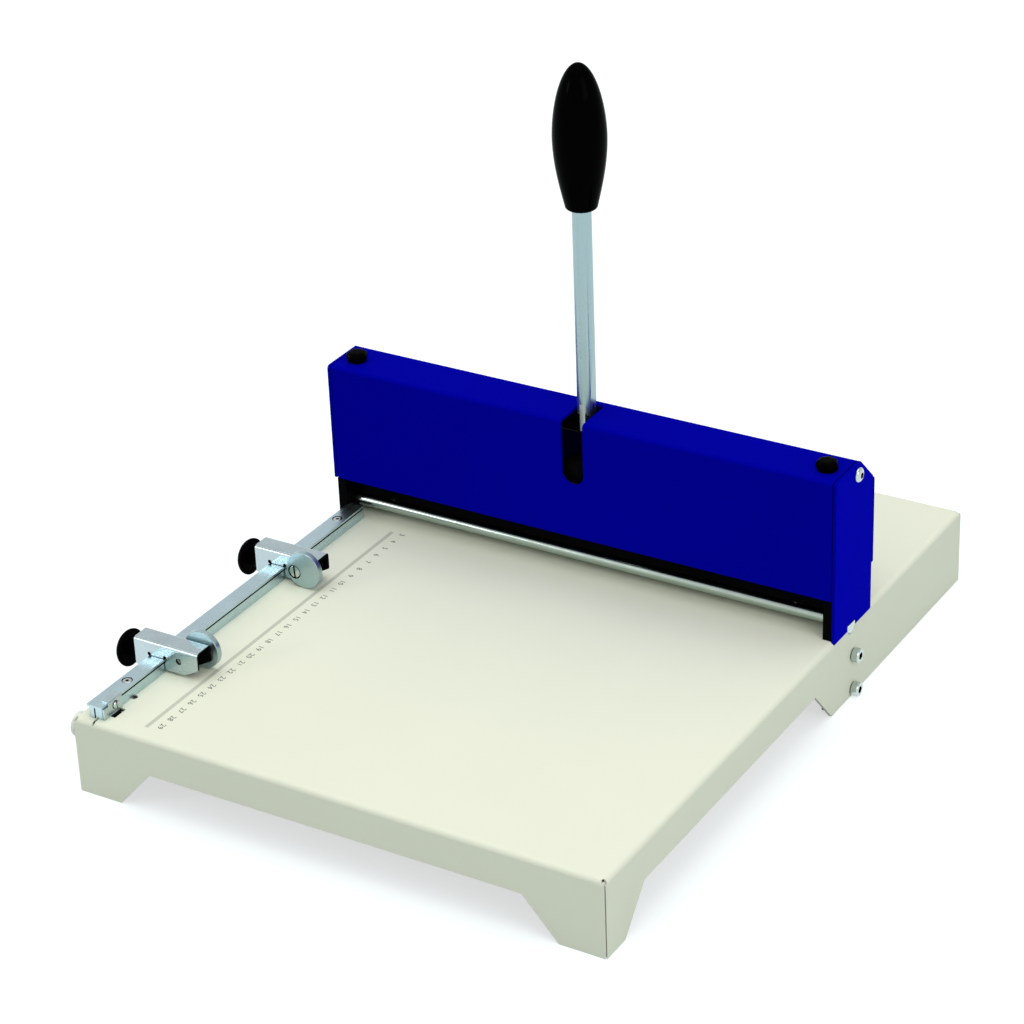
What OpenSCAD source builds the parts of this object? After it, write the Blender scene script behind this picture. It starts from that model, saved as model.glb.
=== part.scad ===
// Desktop paper creasing machine: a folded sheet table, a bridge head with a hand lever,
// and a side rail with two sliding paper stops.
// X runs along the crease, Y to the back, Z up. Sizes are millimetres.

/* [Table] */
// Width of the table
table_w = 358; // [340:1:380]
// Table in front of the crease line
table_front = 306; // [300:1:330]
// Table behind the crease line
table_rear = 163; // [120:1:200]
// Height of the table surface above the floor
table_h = 51; // [51:1:58]
// Thickness of the table sheet
sheet_t = 2; // [1.5:0.1:2.2]
// Outer radius of the folded edges
bend_r = 3.5; // [3:0.25:5]
// Height of the arches between the feet
arch_h = 26; // [18:1:30]
// Width of a front foot on the floor, seen from the front
foot_w = 30; // [20:1:40]
// Length of a front foot on the floor, seen from the side
foot_len = 20.5; // [16:0.5:30]
// Run of the sloping edge beside a foot
foot_slope = 23; // [15:1:30]
// Start of the full-depth rear part, measured in front of the crease
rear_body_y = 27; // [25:1:40]
// Gap of the folded corner seams
seam = 0.9; // [0.6:0.1:1.4]

/* [Head frame] */
// Thickness of the two side frames
frame_t = 6; // [5:0.5:7]
// Front edge of the side frames under the cover, in front of the crease
frame_front = 22; // [20:0.5:22]
// Front edge of the side frames below the cover, in front of the crease
frame_foot = 24.5; // [22:0.5:24.5]
// Rear edge of the side frames
frame_rear = 22; // [20:0.5:23]
// Top of the side frames above the table
frame_top = 104.5; // [103:0.5:104.5]
// Clearance of the frame's foot above the floor
frame_lift = 0.5; // [0.5:0.1:1.5]
// Width of the guide window in the side frames
window_w = 16.6; // [14:0.1:18]
// Lower end of the guide window above the table
window_z0 = 4; // [3.5:0.1:4.2]
// Upper end of the guide window above the table
window_z1 = 42; // [41:0.5:44]
// Diameter of the frame bolts
bolt_d = 5.5; // [5:0.1:5.6]
// Height of the upper frame bolt, below the table surface
bolt_z_hi = 22.2; // [20:0.2:24]
// Height of the lower frame bolt, below the table surface
bolt_z_lo = 46.2; // [44:0.2:46.2]
// Bolt line behind the crease
bolt_y = 2; // [0:0.5:4]
// Depth of the bed bar under the table sheet
bed_depth = 32; // [28:1:36]
// Diameter of the tie bar at the top of the head
tie_d = 10; // [8:0.5:12]
// Tie bar behind the crease
tie_y = 12; // [11:0.5:13]
// Tie bar above the table
tie_z = 86; // [84:0.5:87]

/* [Cover] */
// Thickness of the cover sheet
cover_t = 2; // [1.5:0.1:2.2]
// Thickness of the end panels
panel_t = 2; // [1.5:0.1:2.5]
// Front face of the cover, in front of the crease
cover_front = 25; // [24.5:0.25:27]
// Rear face of the end panels behind the crease
cover_rear = 26; // [25.5:0.25:28]
// Lower edge of the front face above the table
cover_z0 = 27.4; // [24:0.2:34]
// Lower edge of the rear sheet above the table
cover_rear_z0 = 30; // [24:1:40]
// Front top edge above the table
cover_z1 = 107.3; // [107:0.1:108]
// Ridge above the table
ridge_z = 107.5; // [107.4:0.1:110]
// Ridge behind the crease
ridge_y = 8.2; // [6:0.2:9]
// Top of the rear face above the table
chamfer_z = 87.5; // [84:0.5:89]
// Lower edge of the end panels, below the table surface
panel_drop = 2; // [1.8:0.1:2.1]
// Width of the lever slot
slot_w = 15.5; // [14.5:0.25:18]
// Lower end of the lever slot above the table
slot_z0 = 64; // [60:0.5:64.5]
// Rear end of the lever slot behind the crease
slot_y1 = 4; // [3:0.5:6]
// Radius of the fold along the cover's front top edge
cover_fold_r = 7.5; // [4:0.5:9]
// Cover knobs, measured from the sides of the table
knob_inset = 13.3; // [13.3:0.1:17]
// Cover knobs in front of the crease
knob_y = 10; // [8:0.5:13]
// Diameter of the cover knobs
knob_d = 14; // [12:0.5:16]
// Height of the cover knobs
knob_h = 5.3; // [4.5:0.1:8]

/* [Lever] */
// Shaft diameter
shaft_d = 12; // [10:0.5:13]
// Shaft axis in front of the crease
shaft_y = 5; // [4:0.25:5.5]
// Shaft axis above the table
shaft_z = 63; // [62:0.5:64]
// Diameter of the lever rod
rod_d = 12; // [10:0.5:13]
// Lower end of the lever rod above the table
rod_z0 = 104; // [102:0.5:106]
// Thickness of the lever plate
plate_t = 4; // [3:0.5:5]
// Underside of the grip above the table
grip_z0 = 241.2; // [220:0.2:260]
// Length of the grip
grip_len = 91.3; // [80:0.1:100]
// Greatest diameter of the grip
grip_d = 33; // [28:0.5:36]
// Forward swing of the lever in degrees
lever_swing = 64; // [50:1:64]
// Radius of the cams at rest
cam_r0 = 9.5; // [9:0.1:9.8]
// Stroke of the tool beam
stroke = 6; // [5:0.1:6.2]
// Cams, measured from the middle of the shaft
cam_x = 110; // [95:1:130]
// Width of a cam
cam_w = 12; // [8:0.5:16]

/* [Tool beam] */
// Half depth of the tool beam
beam_half = 15; // [13:0.5:17]
// Height of the beam above the table at rest
beam_z0 = 14.8; // [14.6:0.1:15.4]
// Top of the beam above the table at rest
beam_z1 = 40; // [38:0.5:40]
// Thickness of the blades
blade_t = 1; // [0.7:0.1:1.2]
// Distance between the creasing and the perforating blade
blade_pitch = 5; // [4:0.25:6]
// Tip of the creasing blade above the table at rest
crease_tip = 5.2; // [5:0.1:5.4]
// Tip of the perforating blade above the table at rest
perf_tip = 7.9; // [7.6:0.1:8.4]
// Pitch of the perforating teeth
tooth_pitch = 4; // [3:0.5:6]
// Underside of the press bar above the table at rest
press_z0 = 4.5; // [4.4:0.1:4.8]
// Height of the press bar
press_h = 8; // [7.5:0.1:8]
// Half depth of the press bar
press_half = 16.5; // [15:0.5:18]
// Distance from the ends of the beam to the blades
blade_inset = 9.7; // [8:0.1:14]

/* [Rail] */
// Width of the guide rail
rail_w = 10.6; // [9:0.2:12]
// Height of the guide rail above the table
rail_h = 9; // [8:0.2:10]
// Thickness of the rail's cap strip
rail_cap_t = 1.4; // [1:0.1:2]
// Front end of the rail, in front of the crease
rail_y0 = 301; // [296:1:303]
// Rear end of the rail, in front of the crease
rail_y1 = 21.5; // [20.5:0.5:30]
// Front rail screw, in front of the crease
rail_screw_y0 = 269; // [262:1:276]
// Rear rail screw, in front of the crease
rail_screw_y1 = 44; // [38:1:60]

/* [Paper stops] */
// Rear stop, in front of the crease
stop_y_rear = 105.6; // [80:0.2:130]
// Front stop, in front of the crease
stop_y_front = 232.4; // [200:0.2:250]
// Length of the stop bracket
stop_len = 46.5; // [42:0.5:52]
// Depth of the stop bracket
stop_w = 14; // [12:0.5:18]
// Top of the stop bracket above the table
stop_h = 18.9; // [17:0.1:22]
// Sheet thickness of the stop bracket
stop_t = 1.5; // [1.2:0.1:2]
// Diameter of the stop disc
disc_d = 24.6; // [20:0.2:26]
// Thickness of the stop disc
disc_t = 4; // [3:0.5:5]
// Distance from the disc's screw to its centre
disc_ecc = 7; // [5:0.25:7.5]
// Height of the disc's screw above the table
disc_z = 10.2; // [10:0.1:11]
// Disc's screw, measured from the right end of the bracket
disc_inset = 14; // [12:0.5:18]
// Diameter of the clamp knob
clamp_d = 23.8; // [20:0.2:28]
// Length of the clamp knob
clamp_len = 7; // [6:0.5:14]
// Length of the clamp knob's neck
clamp_neck = 6.5; // [2:0.5:9]

/* [Fits] */
// Clearance between pieces that move past each other
gap = 0.3; // [0.25:0.05:0.4]
// Radial clearance of screws and shafts
fit = 0.05; // [0.03:0.01:0.08]

/* [Hidden] */

$fn = 48;
eps = 0.01;
far = 1000;

// Colours
cream = [0.88, 0.89, 0.80];
blue = [0.03, 0.05, 0.55];
black = [0.05, 0.05, 0.06];
zinc = [0.70, 0.76, 0.79];
steel = [0.60, 0.66, 0.68];
bronze = [0.72, 0.55, 0.33];

// Overall places
half_w = table_w / 2;
wall_in = half_w - sheet_t;
frame_in = wall_in - frame_t;
beam_half_x = frame_in - gap;
tenon_x = wall_in - 2 * gap;
table_len = table_front + table_rear;
bolt_head_h = bolt_d * 0.95;
blade_len = 2 * (beam_half_x - blade_inset);
knob_x = half_w - knob_inset;

// Bed, die and blades
die_side = 4;
die_t = 3;
die_w = blade_pitch + 2 * die_side;
land_side = 3;
bed_side = 5;
die_half_x = blade_len / 2 + 3;
land_half_x = die_half_x + 1;
groove_w = blade_t + 0.8;
crease_groove = 1.5;
perf_groove = 2.2;
blade_top = 28;
tenon_half = window_w / 2 - gap;
press_tenon_h = 4;
spring_pocket_d = 8.6;
press_bolt_inset = 25.7;
press_bolt_x = beam_half_x - press_bolt_inset;
press_bolt_ys = [-8, (blade_pitch + blade_t / 2 + beam_half) / 2];
press_bolt_d = 4;
press_travel = press_z0 - gap;
pad_y0 = 11;
pad_len = cam_w + 4;
pad_top = shaft_z - cam_r0 - gap;
return_x = 80;
return_spring_d = 9;
return_wire = 1.2;
press_spring_d = 7.6;
press_wire = 0.8;

// Cover
seam_x = 0.4;
rear_lap = 0.2;
screw_y = 4.4;
screw_z = 100.2;
screw_d = 5;
panel_screw_head_d = 9.5;
panel_screw_head_h = 2.8;
stud_y = -1;
stud_z = -0.7;
stud_head_d = 10;
stud_d = 4;
stud_head_t = 2.2;
stud_flat = 2.1;
notch_half = 5.3;
panel_cut_y = 19;
lug_top = 97;
lug_t = 4;
thumb_d = 5;
washer_t = 0.8;

// Rail and stops
rail_x0 = -frame_in + 0.1;
rail_x1 = rail_x0 + rail_w;
rail_mid = (rail_x0 + rail_x1) / 2;
cap_over = 0.2;
cap_z0 = rail_h - rail_cap_t;
rail_screw_d = 3;
rail_screw_head = 6.2;
stop_x0 = -(half_w + 3);
stop_x1 = stop_x0 + stop_len;
stop_bend = 2.4;
notch_top = rail_h + gap;
stop_foot = 0.4;
stop_foot_right = 1.7;
stop_end_z = 7.5;
stop_cut = 10.5;
disc_x = stop_x1 - disc_inset;
disc_angle = asin(min(1, (disc_d / 2 + gap - disc_z) / disc_ecc));
disc_cx = disc_ecc * cos(disc_angle);
disc_cz = disc_ecc * sin(disc_angle);
disc_screw_d = 4;
disc_head_d = 8.6;
disc_head_t = 1.6;
disc_shoulder_d = 5.4;
clamp_z = rail_h / 2 + 0.8;
clamp_stud_d = 5;
pad_x = rail_x0 - gap;
pad_t = 2;
clamp_gap = 1;
clamp_x = stop_x0 - clamp_gap - clamp_neck;
end_wall_foot = -1.5;

// The origin is the middle of the whole machine's footprint
reach_left = -clamp_x + clamp_len;
reach_right = half_w + bolt_head_h;
mid_x = (reach_right - reach_left) / 2;
mid_y = (table_rear - table_front) / 2;

module placed() {
    translate([-mid_x, -mid_y, 0]) children();
}

// Height above the table surface
module on_table() {
    translate([0, 0, table_h]) children();
}

// A cylinder along X, from its left end
module bar_x(d, len, fn = 48) {
    rotate([0, 90, 0]) cylinder(d = d, h = len, $fn = fn);
}

// A cylinder along Y, from its front end
module bar_y(d, len, fn = 48) {
    rotate([-90, 0, 0]) cylinder(d = d, h = len, $fn = fn);
}

// A profile drawn in (Y, Z), extruded along X from x0 to x1
module along_x(x0, x1) {
    translate([x0, 0, 0]) rotate([90, 0, 90]) linear_extrude(x1 - x0) children();
}

// A profile drawn in (X, Z), extruded along Y from y0 to y1
module along_y(y0, y1) {
    translate([0, y1, 0]) rotate([90, 0, 0]) linear_extrude(y1 - y0) children();
}

// Both sides of the machine
module both_sides() {
    children();
    mirror([1, 0, 0]) children();
}

// A rectangle from [0, 0] whose upper corners are round
module round_top(w, h, r) {
    square([w, h - r]);
    translate([r, 0]) square([w - 2 * r, h]);
    for (x = [r, w - r]) translate([x, h - r]) circle(r);
}

// ---------- table ----------

module table_block(inset) {
    r = bend_r - inset;
    intersection() {
        along_y(-table_front + inset, table_rear - inset)
            translate([-half_w + inset, -far]) round_top(table_w - 2 * inset, far + table_h - inset, r);
        along_x(-half_w + inset, half_w - inset)
            translate([-table_front + inset, -far]) round_top(table_len - 2 * inset, far + table_h - inset, r);
        translate([-far, -far, 0]) cube([2 * far, 2 * far, far]);
    }
}

module side_arch() {
    y0 = -table_front + foot_len;
    y3 = -rear_body_y;
    polygon([[y0, -1], [y0, 0], [y0 + foot_slope, arch_h], [y3 - foot_slope, arch_h],
        [y3, 0], [y3, -1]]);
}

module front_arch() {
    x0 = half_w - foot_w;
    x1 = x0 - foot_slope;
    polygon([[-x0, -1], [-x0, 0], [-x1, arch_h], [x1, arch_h], [x0, 0], [x0, -1]]);
}

module corner_seams() {
    relief_d = 3;
    for (x = [-half_w, half_w], y = [-table_front, table_rear]) {
        inward = [-sign(x), -sign(y)];
        translate([x, y, 0]) rotate([0, 0, atan2(inward[1], inward[0])])
            translate([-4, -seam / 2, -1]) cube([4 + sheet_t * 1.85, seam, table_h + 2]);
        translate([x + inward[0] * 1.6, y + inward[1] * 1.6, table_h - bend_r])
            cylinder(d = relief_d, h = bend_r + 1);
    }
}

module bed_land(grow) {
    translate([-land_half_x - grow, -die_side - land_side - grow, 0])
        square([2 * (land_half_x + grow), die_w + 2 * (land_side + grow)]);
}

module frame_passage(front) {
    translate([frame_in - gap, -frame_foot - gap, -bend_r - gap])
        cube([frame_t + gap, frame_foot + frame_rear + 2 * gap, bend_r + gap + 1]);
    translate([wall_in - gap, -front - gap, -panel_drop - gap])
        cube([far, front + cover_rear + 2 * gap, panel_drop + gap + 1]);
    translate([wall_in - 1, stud_y, stud_z]) bar_x(stud_head_d + 2 * gap + 0.4, far);
}

module table_base() {
    color(cream) difference() {
        table_block(0);
        difference() {
            table_block(sheet_t);
            translate([-far, -far, table_h - sheet_t]) cube([2 * far, 2 * far, far]);
        }
        translate([-half_w + sheet_t, -table_front + sheet_t, -1])
            cube([table_w - 2 * sheet_t, table_len - 2 * sheet_t, 2]);
        along_x(-far, far) side_arch();
        along_y(-table_front - 1, -table_front + sheet_t + 1) front_arch();
        corner_seams();
        translate([0, 0, table_h - sheet_t - 1]) linear_extrude(sheet_t + 2) bed_land(gap / 2);
        on_table() {
            frame_passage(cover_front);
            mirror([1, 0, 0]) frame_passage(panel_cut_y);
            both_sides() for (z = [bolt_z_hi, bolt_z_lo])
                translate([wall_in - 1, bolt_y, -z]) bar_x(bolt_d + 0.4, sheet_t + 2);
            for (y = [rail_screw_y0, rail_screw_y1])
                translate([rail_mid, -y, -sheet_t - 1]) cylinder(d = rail_screw_d + 2 * fit, h = sheet_t + 2);
            rail_table_cuts();
            translate([-half_w - 1, button_y, button_z]) bar_x(button_shank_d + 2 * fit, sheet_t + 2);
        }
    }
}

// Openings beside the rail: bracket window, round hole and a slit over the front fold
bracket_y0 = -rail_y0 + 6;
bracket_len = 10.6;
bracket_side = 1.2;
bracket_t = 1;
button_inset = 8.4;
button_y = -table_front + button_inset;
button_z = -9.7;
button_shank_d = 6;
button_head_d = 15.6;
button_head_h = 4.2;
button_nut_d = 11;
button_nut_h = 4;
round_hole_pitch = 13.5;

module rail_table_cuts() {
    window_x = 7;
    round_hole_d = 4.5;
    slit_w = 1.6;
    translate([rail_x1 - 2.6, bracket_y0, -sheet_t - 1]) cube([window_x, bracket_len, sheet_t + 2]);
    translate([rail_x1 + 0.4, bracket_y0 + bracket_len + round_hole_pitch, -sheet_t - 1])
        cylinder(d = round_hole_d, h = sheet_t + 2);
    translate([rail_mid + 0.4, -table_front - 1, -2.6]) cube([slit_w, 6.2, 4]);
}

// ---------- bed under the crease line ----------

module bed_bar() {
    y0 = -die_side - land_side;
    die_clear = gap / 2;
    color(steel) on_table() difference() {
        union() {
            translate([-frame_in, y0 - bed_side, -sheet_t - bed_depth])
                cube([2 * frame_in, die_w + 2 * (land_side + bed_side), bed_depth]);
            translate([0, 0, -sheet_t - eps]) linear_extrude(sheet_t + eps) bed_land(0);
        }
        translate([-die_half_x - die_clear, -die_side - fit, -die_t])
            cube([2 * (die_half_x + die_clear), die_w + 2 * fit, die_t + 1]);
        both_sides() translate([frame_in - bolt_reach - 3, bolt_y, -bolt_z_hi])
            bar_x(bolt_d + 2 * fit, bolt_reach + 4);
    }
}

module crease_die() {
    color(zinc) on_table() difference() {
        translate([-die_half_x, -die_side, -die_t]) cube([2 * die_half_x, die_w, die_t]);
        translate([-far / 2, -groove_w / 2, -crease_groove]) cube([far, groove_w, crease_groove + 1]);
        translate([-far / 2, blade_pitch - groove_w / 2, -perf_groove])
            cube([far, groove_w, perf_groove + 1]);
    }
}

// ---------- head frame ----------

module frame_outline() {
    z0 = -table_h + frame_lift;
    corner = 6;
    shoulder = cover_z0 - 0.4;
    polygon([[-frame_foot, z0], [-frame_foot, shoulder], [-frame_front, shoulder],
        [-frame_front, frame_top - corner], [-frame_front + corner, frame_top], [ridge_y - 1, frame_top],
        [frame_rear, chamfer_z - 2], [frame_rear, z0]]);
}

module side_frame_right() {
    color(black) on_table() difference() {
        along_x(frame_in, wall_in) frame_outline();
        translate([frame_in - 1, -window_w / 2, window_z0])
            cube([frame_t + 2, window_w, window_z1 - window_z0]);
        translate([frame_in - 1, -shaft_y, shaft_z]) bar_x(bush_od, frame_t + 2);
        translate([frame_in - 1, tie_y, tie_z]) bar_x(tie_spigot_d + 2 * fit, frame_t + 2);
        translate([frame_in - 1, screw_y, screw_z]) bar_x(screw_d + 2 * fit, frame_t + 2);
        translate([frame_in - 1, stud_y, stud_z]) bar_x(stud_d + 2 * fit, frame_t + 2);
        for (z = [bolt_z_hi, bolt_z_lo])
            translate([frame_in - 1, bolt_y, -z]) bar_x(bolt_d + 2 * fit, frame_t + 2);
    }
}

module side_frame_left() {
    mirror([1, 0, 0]) side_frame_right();
}

// Socket cap screw along X: head outside, shank inwards
module cap_screw(d, len, head_d, head_h, hex) {
    translate([-len, 0, 0]) bar_x(d, len);
    difference() {
        bar_x(head_d, head_h);
        translate([head_h * 0.4, 0, 0]) bar_x(hex, head_h, 6);
    }
}

module frame_bolts() {
    wall = sheet_t + frame_t;
    color(zinc) on_table() both_sides() {
        for (place = [[bolt_z_hi, wall + bolt_reach], [bolt_z_lo, wall]]) translate([half_w, bolt_y, -place[0]])
            cap_screw(bolt_d, place[1], bolt_d * 1.65, bolt_head_h, bolt_d * 0.9);
    }
}

bolt_reach = bolt_d * 2.75;
bush_od = shaft_d + 4;
bush_flange = 1.5;
tie_spigot_d = tie_d - 3;

module shaft_bushes() {
    color(bronze) on_table() both_sides() translate([frame_in - bush_flange, -shaft_y, shaft_z]) difference() {
        union() {
            bar_x(bush_od - 2 * fit, frame_t + bush_flange);
            bar_x(bush_od + 4, bush_flange);
        }
        translate([-1, 0, 0]) bar_x(shaft_d + 2 * fit, frame_t + bush_flange + 2);
    }
}

module top_tie_bar() {
    color(steel) on_table() translate([0, tie_y, tie_z]) {
        translate([-frame_in, 0, 0]) bar_x(tie_d, 2 * frame_in);
        translate([-wall_in, 0, 0]) bar_x(tie_spigot_d, 2 * wall_in);
    }
}

// Angle lugs on the frames that take the cover knobs
module cover_lugs() {
    lug_w = 14;
    leg = 26;
    boss_d = 10;
    boss_top = cover_z1 - cover_t - gap;
    color(zinc) on_table() both_sides() difference() {
        union() {
            translate([knob_x - 6, -knob_y - lug_w / 2, lug_top - lug_t])
                cube([frame_in - knob_x + 6, lug_w, lug_t]);
            translate([frame_in - 2, -knob_y - lug_w / 2, lug_top - leg / 2]) cube([2, lug_w, leg / 2]);
            translate([min(knob_x, frame_in - boss_d / 2), -knob_y, lug_top - eps])
                cylinder(d = boss_d, h = boss_top - lug_top + eps);
        }
        translate([knob_x, -knob_y, 0]) cylinder(d = thumb_d + 2 * fit, h = far);
    }
}

module locating_studs() {
    color(zinc) on_table() both_sides() translate([wall_in, stud_y, stud_z]) {
        translate([-frame_t, 0, 0]) bar_x(stud_d, frame_t + eps);
        difference() {
            bar_x(stud_head_d, stud_head_t);
            translate([-1, -stud_head_d, stud_flat]) cube([stud_head_t + 2, 2 * stud_head_d, stud_head_d]);
        }
    }
}

// ---------- cover ----------

rear_in = cover_rear + rear_lap;
rear_out = rear_in + cover_t;
chamfer_run = (ridge_z - chamfer_z) / (rear_out - ridge_y);

// Outer outline of the head seen from its end, drawn in (Y, Z)
module head_outline(rear, low) {
    r = cover_fold_r;
    polygon([[-cover_front, low], [-cover_front, cover_z1 - r],
        for (a = [165:-15:90]) [-cover_front + r * (1 + cos(a)), cover_z1 - r + r * sin(a)],
        [ridge_y, ridge_z], [rear, chamfer_z + (rear_out - rear) * chamfer_run], [rear, low]]);
}

module head_cavity() {
    t = cover_t;
    r = cover_fold_r - t;
    polygon([[-cover_front + t, -far], [-cover_front + t, cover_z1 - t - r],
        for (a = [165:-15:90]) [-cover_front + t + r * (1 + cos(a)), cover_z1 - t - r + r * sin(a)],
        [ridge_y - t * 0.41, ridge_z - t], [rear_in, chamfer_z - t * 0.41], [rear_in, -far]]);
}

module lever_slot() {
    corner = 3;
    top = ridge_z + 1;
    along_y(-cover_front - 1, -cover_front + cover_fold_r + 1) {
        translate([0, slot_z0 + slot_w / 2]) circle(d = slot_w);
        translate([-slot_w / 2, slot_z0 + slot_w / 2]) square([slot_w, top]);
    }
    translate([0, 0, cover_z1 - cover_fold_r - 1]) linear_extrude(far) {
        translate([-slot_w / 2, -cover_front - 1]) square([slot_w, cover_front + 1 + slot_y1 - corner]);
        translate([-slot_w / 2 + corner, 0]) square([slot_w - 2 * corner, slot_y1]);
        for (s = [-1, 1]) translate([s * (slot_w / 2 - corner), slot_y1 - corner]) circle(corner);
    }
}

module head_cover() {
    x1 = wall_in - seam_x;
    color(blue) on_table() difference() {
        union() {
            difference() {
                along_x(-x1, x1) head_outline(rear_out, cover_z0);
                along_x(-far, far) head_cavity();
            }
            translate([-half_w, rear_in, cover_rear_z0])
                cube([table_w, cover_t, chamfer_z - 0.5 - cover_rear_z0]);
        }
        translate([-far, 0, 0]) cube([2 * far, far, cover_rear_z0]);
        lever_slot();
        both_sides() translate([knob_x, -knob_y, cover_z0]) cylinder(d = thumb_d + 1, h = far);
    }
}

module end_panel_right() {
    notch_top_z = stud_z + stud_flat + 0.2;
    color(blue) on_table() difference() {
        along_x(wall_in, wall_in + panel_t) head_outline(cover_rear, -panel_drop);
        translate([wall_in - 1, stud_y - notch_half, notch_top_z - far])
            cube([panel_t + 2, 2 * notch_half, far]);
        translate([wall_in - 1, screw_y, screw_z]) bar_x(screw_d + 0.4, panel_t + 2);
    }
}

// The left panel leaves room for the rear stop at its lower front corner
module end_panel_left() {
    color(blue) difference() {
        mirror([1, 0, 0]) end_panel_right();
        on_table() translate([-half_w - 1, -far, -far]) cube([panel_t + 2, far - panel_cut_y, far + cover_z0]);
    }
}

module end_panel_screws() {
    head_d = panel_screw_head_d;
    head_h = panel_screw_head_h;
    color(zinc) on_table() both_sides() translate([wall_in + panel_t, screw_y, screw_z]) {
        translate([-panel_t - frame_t, 0, 0]) bar_x(screw_d, panel_t + frame_t);
        difference() {
            rotate([0, 90, 0]) rotate_extrude() intersection() {
                square([head_d / 2, head_h]);
                translate([0, head_h - head_d * 0.62]) circle(head_d * 0.62);
            }
            translate([1, 0, 0]) bar_x(3.4, head_h, 6);
        }
    }
}

// Place on the sloping top of the cover, above a point at y
function cover_top(y) = cover_z1 + (ridge_z - cover_z1) * (y + cover_front) / (ridge_y + cover_front);

knob_seat = cover_top(-knob_y + knob_d / 2) + 0.1;

module knob_washer_right() {
    color(black) on_table() translate([knob_x, -knob_y, knob_seat]) difference() {
        cylinder(d = knob_d - 2, h = washer_t);
        translate([0, 0, -1]) cylinder(d = thumb_d + 2 * fit, h = washer_t + 2);
    }
}

module knob_washer_left() {
    mirror([1, 0, 0]) knob_washer_right();
}

// Lobed thumb screw with a rounded top edge
module cover_knob_right() {
    lobes = 7;
    lobe_r = knob_d * 0.16;
    z0 = knob_seat + washer_t + 0.05;
    color(black) on_table() translate([knob_x, -knob_y, 0]) {
        translate([0, 0, z0]) intersection() {
            linear_extrude(knob_h) union() {
                circle(d = knob_d * 0.84);
                for (a = [0:360 / lobes:359]) rotate(a)
                    translate([knob_d / 2 - lobe_r, 0]) circle(lobe_r, $fn = 24);
            }
            rotate_extrude() polygon([[0, 0], [knob_d / 2 + 1, 0], [knob_d / 2 + 1, knob_h - 3],
                [knob_d / 2 - 0.4, knob_h - 1.6], [knob_d / 2 - 1.4, knob_h - 0.5],
                [knob_d / 2 - 2.8, knob_h], [0, knob_h]]);
        }
        translate([0, 0, lug_top - lug_t - 2]) cylinder(d = thumb_d, h = z0 - lug_top + lug_t + 2 + eps);
    }
}

module cover_knob_left() {
    mirror([1, 0, 0]) cover_knob_right();
}

// ---------- lever ----------

module at_shaft() {
    on_table() translate([0, -shaft_y, shaft_z]) children();
}

module lever_shaft() {
    color(steel) at_shaft() translate([-tenon_x, 0, 0]) bar_x(shaft_d, 2 * tenon_x);
}

// Cam whose reach grows evenly with its angle: an involute of a circle
module cam_lobe() {
    rate = stroke / (lever_swing * PI / 180);
    polygon([[0, 0], [0, -cam_r0],
        for (i = [0:16]) let (a = lever_swing * i / 16, h = cam_r0 + stroke * i / 16)
            [-h * sin(a) - rate * cos(a), -h * cos(a) + rate * sin(a)],
        [-cam_r0 * 0.6, cam_r0 * 0.6]]);
}

module cam_right() {
    color(steel) at_shaft() translate([cam_x - cam_w / 2, 0, 0]) difference() {
        union() {
            bar_x(2 * cam_r0, cam_w);
            along_x(0, cam_w) cam_lobe();
        }
        translate([-1, 0, 0]) bar_x(shaft_d + 0.04, cam_w + 2);
    }
}

module cam_left() {
    translate([-2 * cam_x, 0, 0]) cam_right();
}

plate_eye_d = shaft_d * 23 / 12;
fork_top = 22;
collar_len = shaft_d * 0.75;
collar_wall = shaft_d / 3;

module lever_plate() {
    reach = rod_z0 - shaft_z + fork_top;
    color(zinc) at_shaft() translate([-plate_t / 2, 0, 0]) difference() {
        union() {
            bar_x(plate_eye_d, plate_t);
            translate([0, -rod_d / 2, 0]) cube([plate_t, rod_d, reach]);
        }
        translate([-1, 0, 0]) bar_x(shaft_d + 0.04, plate_t + 2);
    }
}

module hub_collars() {
    color(steel) at_shaft() both_sides() translate([plate_t / 2, 0, 0]) difference() {
        bar_x(shaft_d + 2 * collar_wall, collar_len);
        translate([-1, 0, 0]) bar_x(shaft_d + 0.04, collar_len + 2);
    }
}

rod_bury = 30;

// Rod with a fork over the lever plate; the prongs thin out and end in a full round
module lever_rod() {
    r = rod_d / 2;
    foot = rod_d * 0.36;
    taper = rod_d * 5;
    color(zinc) on_table() translate([0, -shaft_y, rod_z0]) difference() {
        intersection() {
            cylinder(d = rod_d, h = grip_z0 + rod_bury - rod_z0);
            along_x(-rod_d, rod_d) {
                translate([-rod_d, r]) square([2 * rod_d, far]);
                translate([0, r]) circle(r + eps);
            }
            along_y(-rod_d, rod_d) polygon([[-foot, -1], [foot, -1], [r + 0.5, taper], [r + 0.5, far],
                [-r - 0.5, far], [-r - 0.5, taper]]);
        }
        translate([-plate_t / 2, -rod_d, -1]) cube([plate_t, 2 * rod_d, fork_top + 1]);
    }
}

// Grip radius at a height above its underside
function grip_r(z) = let (zm = grip_len * 0.5, u = abs(z - zm) / (z > zm ? grip_len - zm : zm))
    z > zm ? grip_d / 2 * sqrt(max(0, 1 - pow(u, 1.8))) : grip_d * 0.29 + grip_d * 0.21 * cos(90 * u);

module lever_grip() {
    rim = 2.4;
    foot_r = grip_r(rim);
    color(black) on_table() translate([0, -shaft_y, grip_z0]) difference() {
        rotate_extrude() polygon([[0, 0],
            for (a = [-90:18:0]) [foot_r - rim + rim * cos(a), rim + rim * sin(a)],
            for (i = [3:22]) let (z = grip_len * i / 24) [grip_r(z), z],
            for (a = [30, 15, 8, 0]) let (z = grip_len - grip_len * 0.0833 * (1 - cos(3 * a)))
                [a == 0 ? 0 : grip_r(z), z]]);
        translate([0, 0, -1]) cylinder(d = rod_d + 2 * fit, h = rod_bury + 1);
    }
}

// ---------- tool beam and blades ----------

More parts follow.
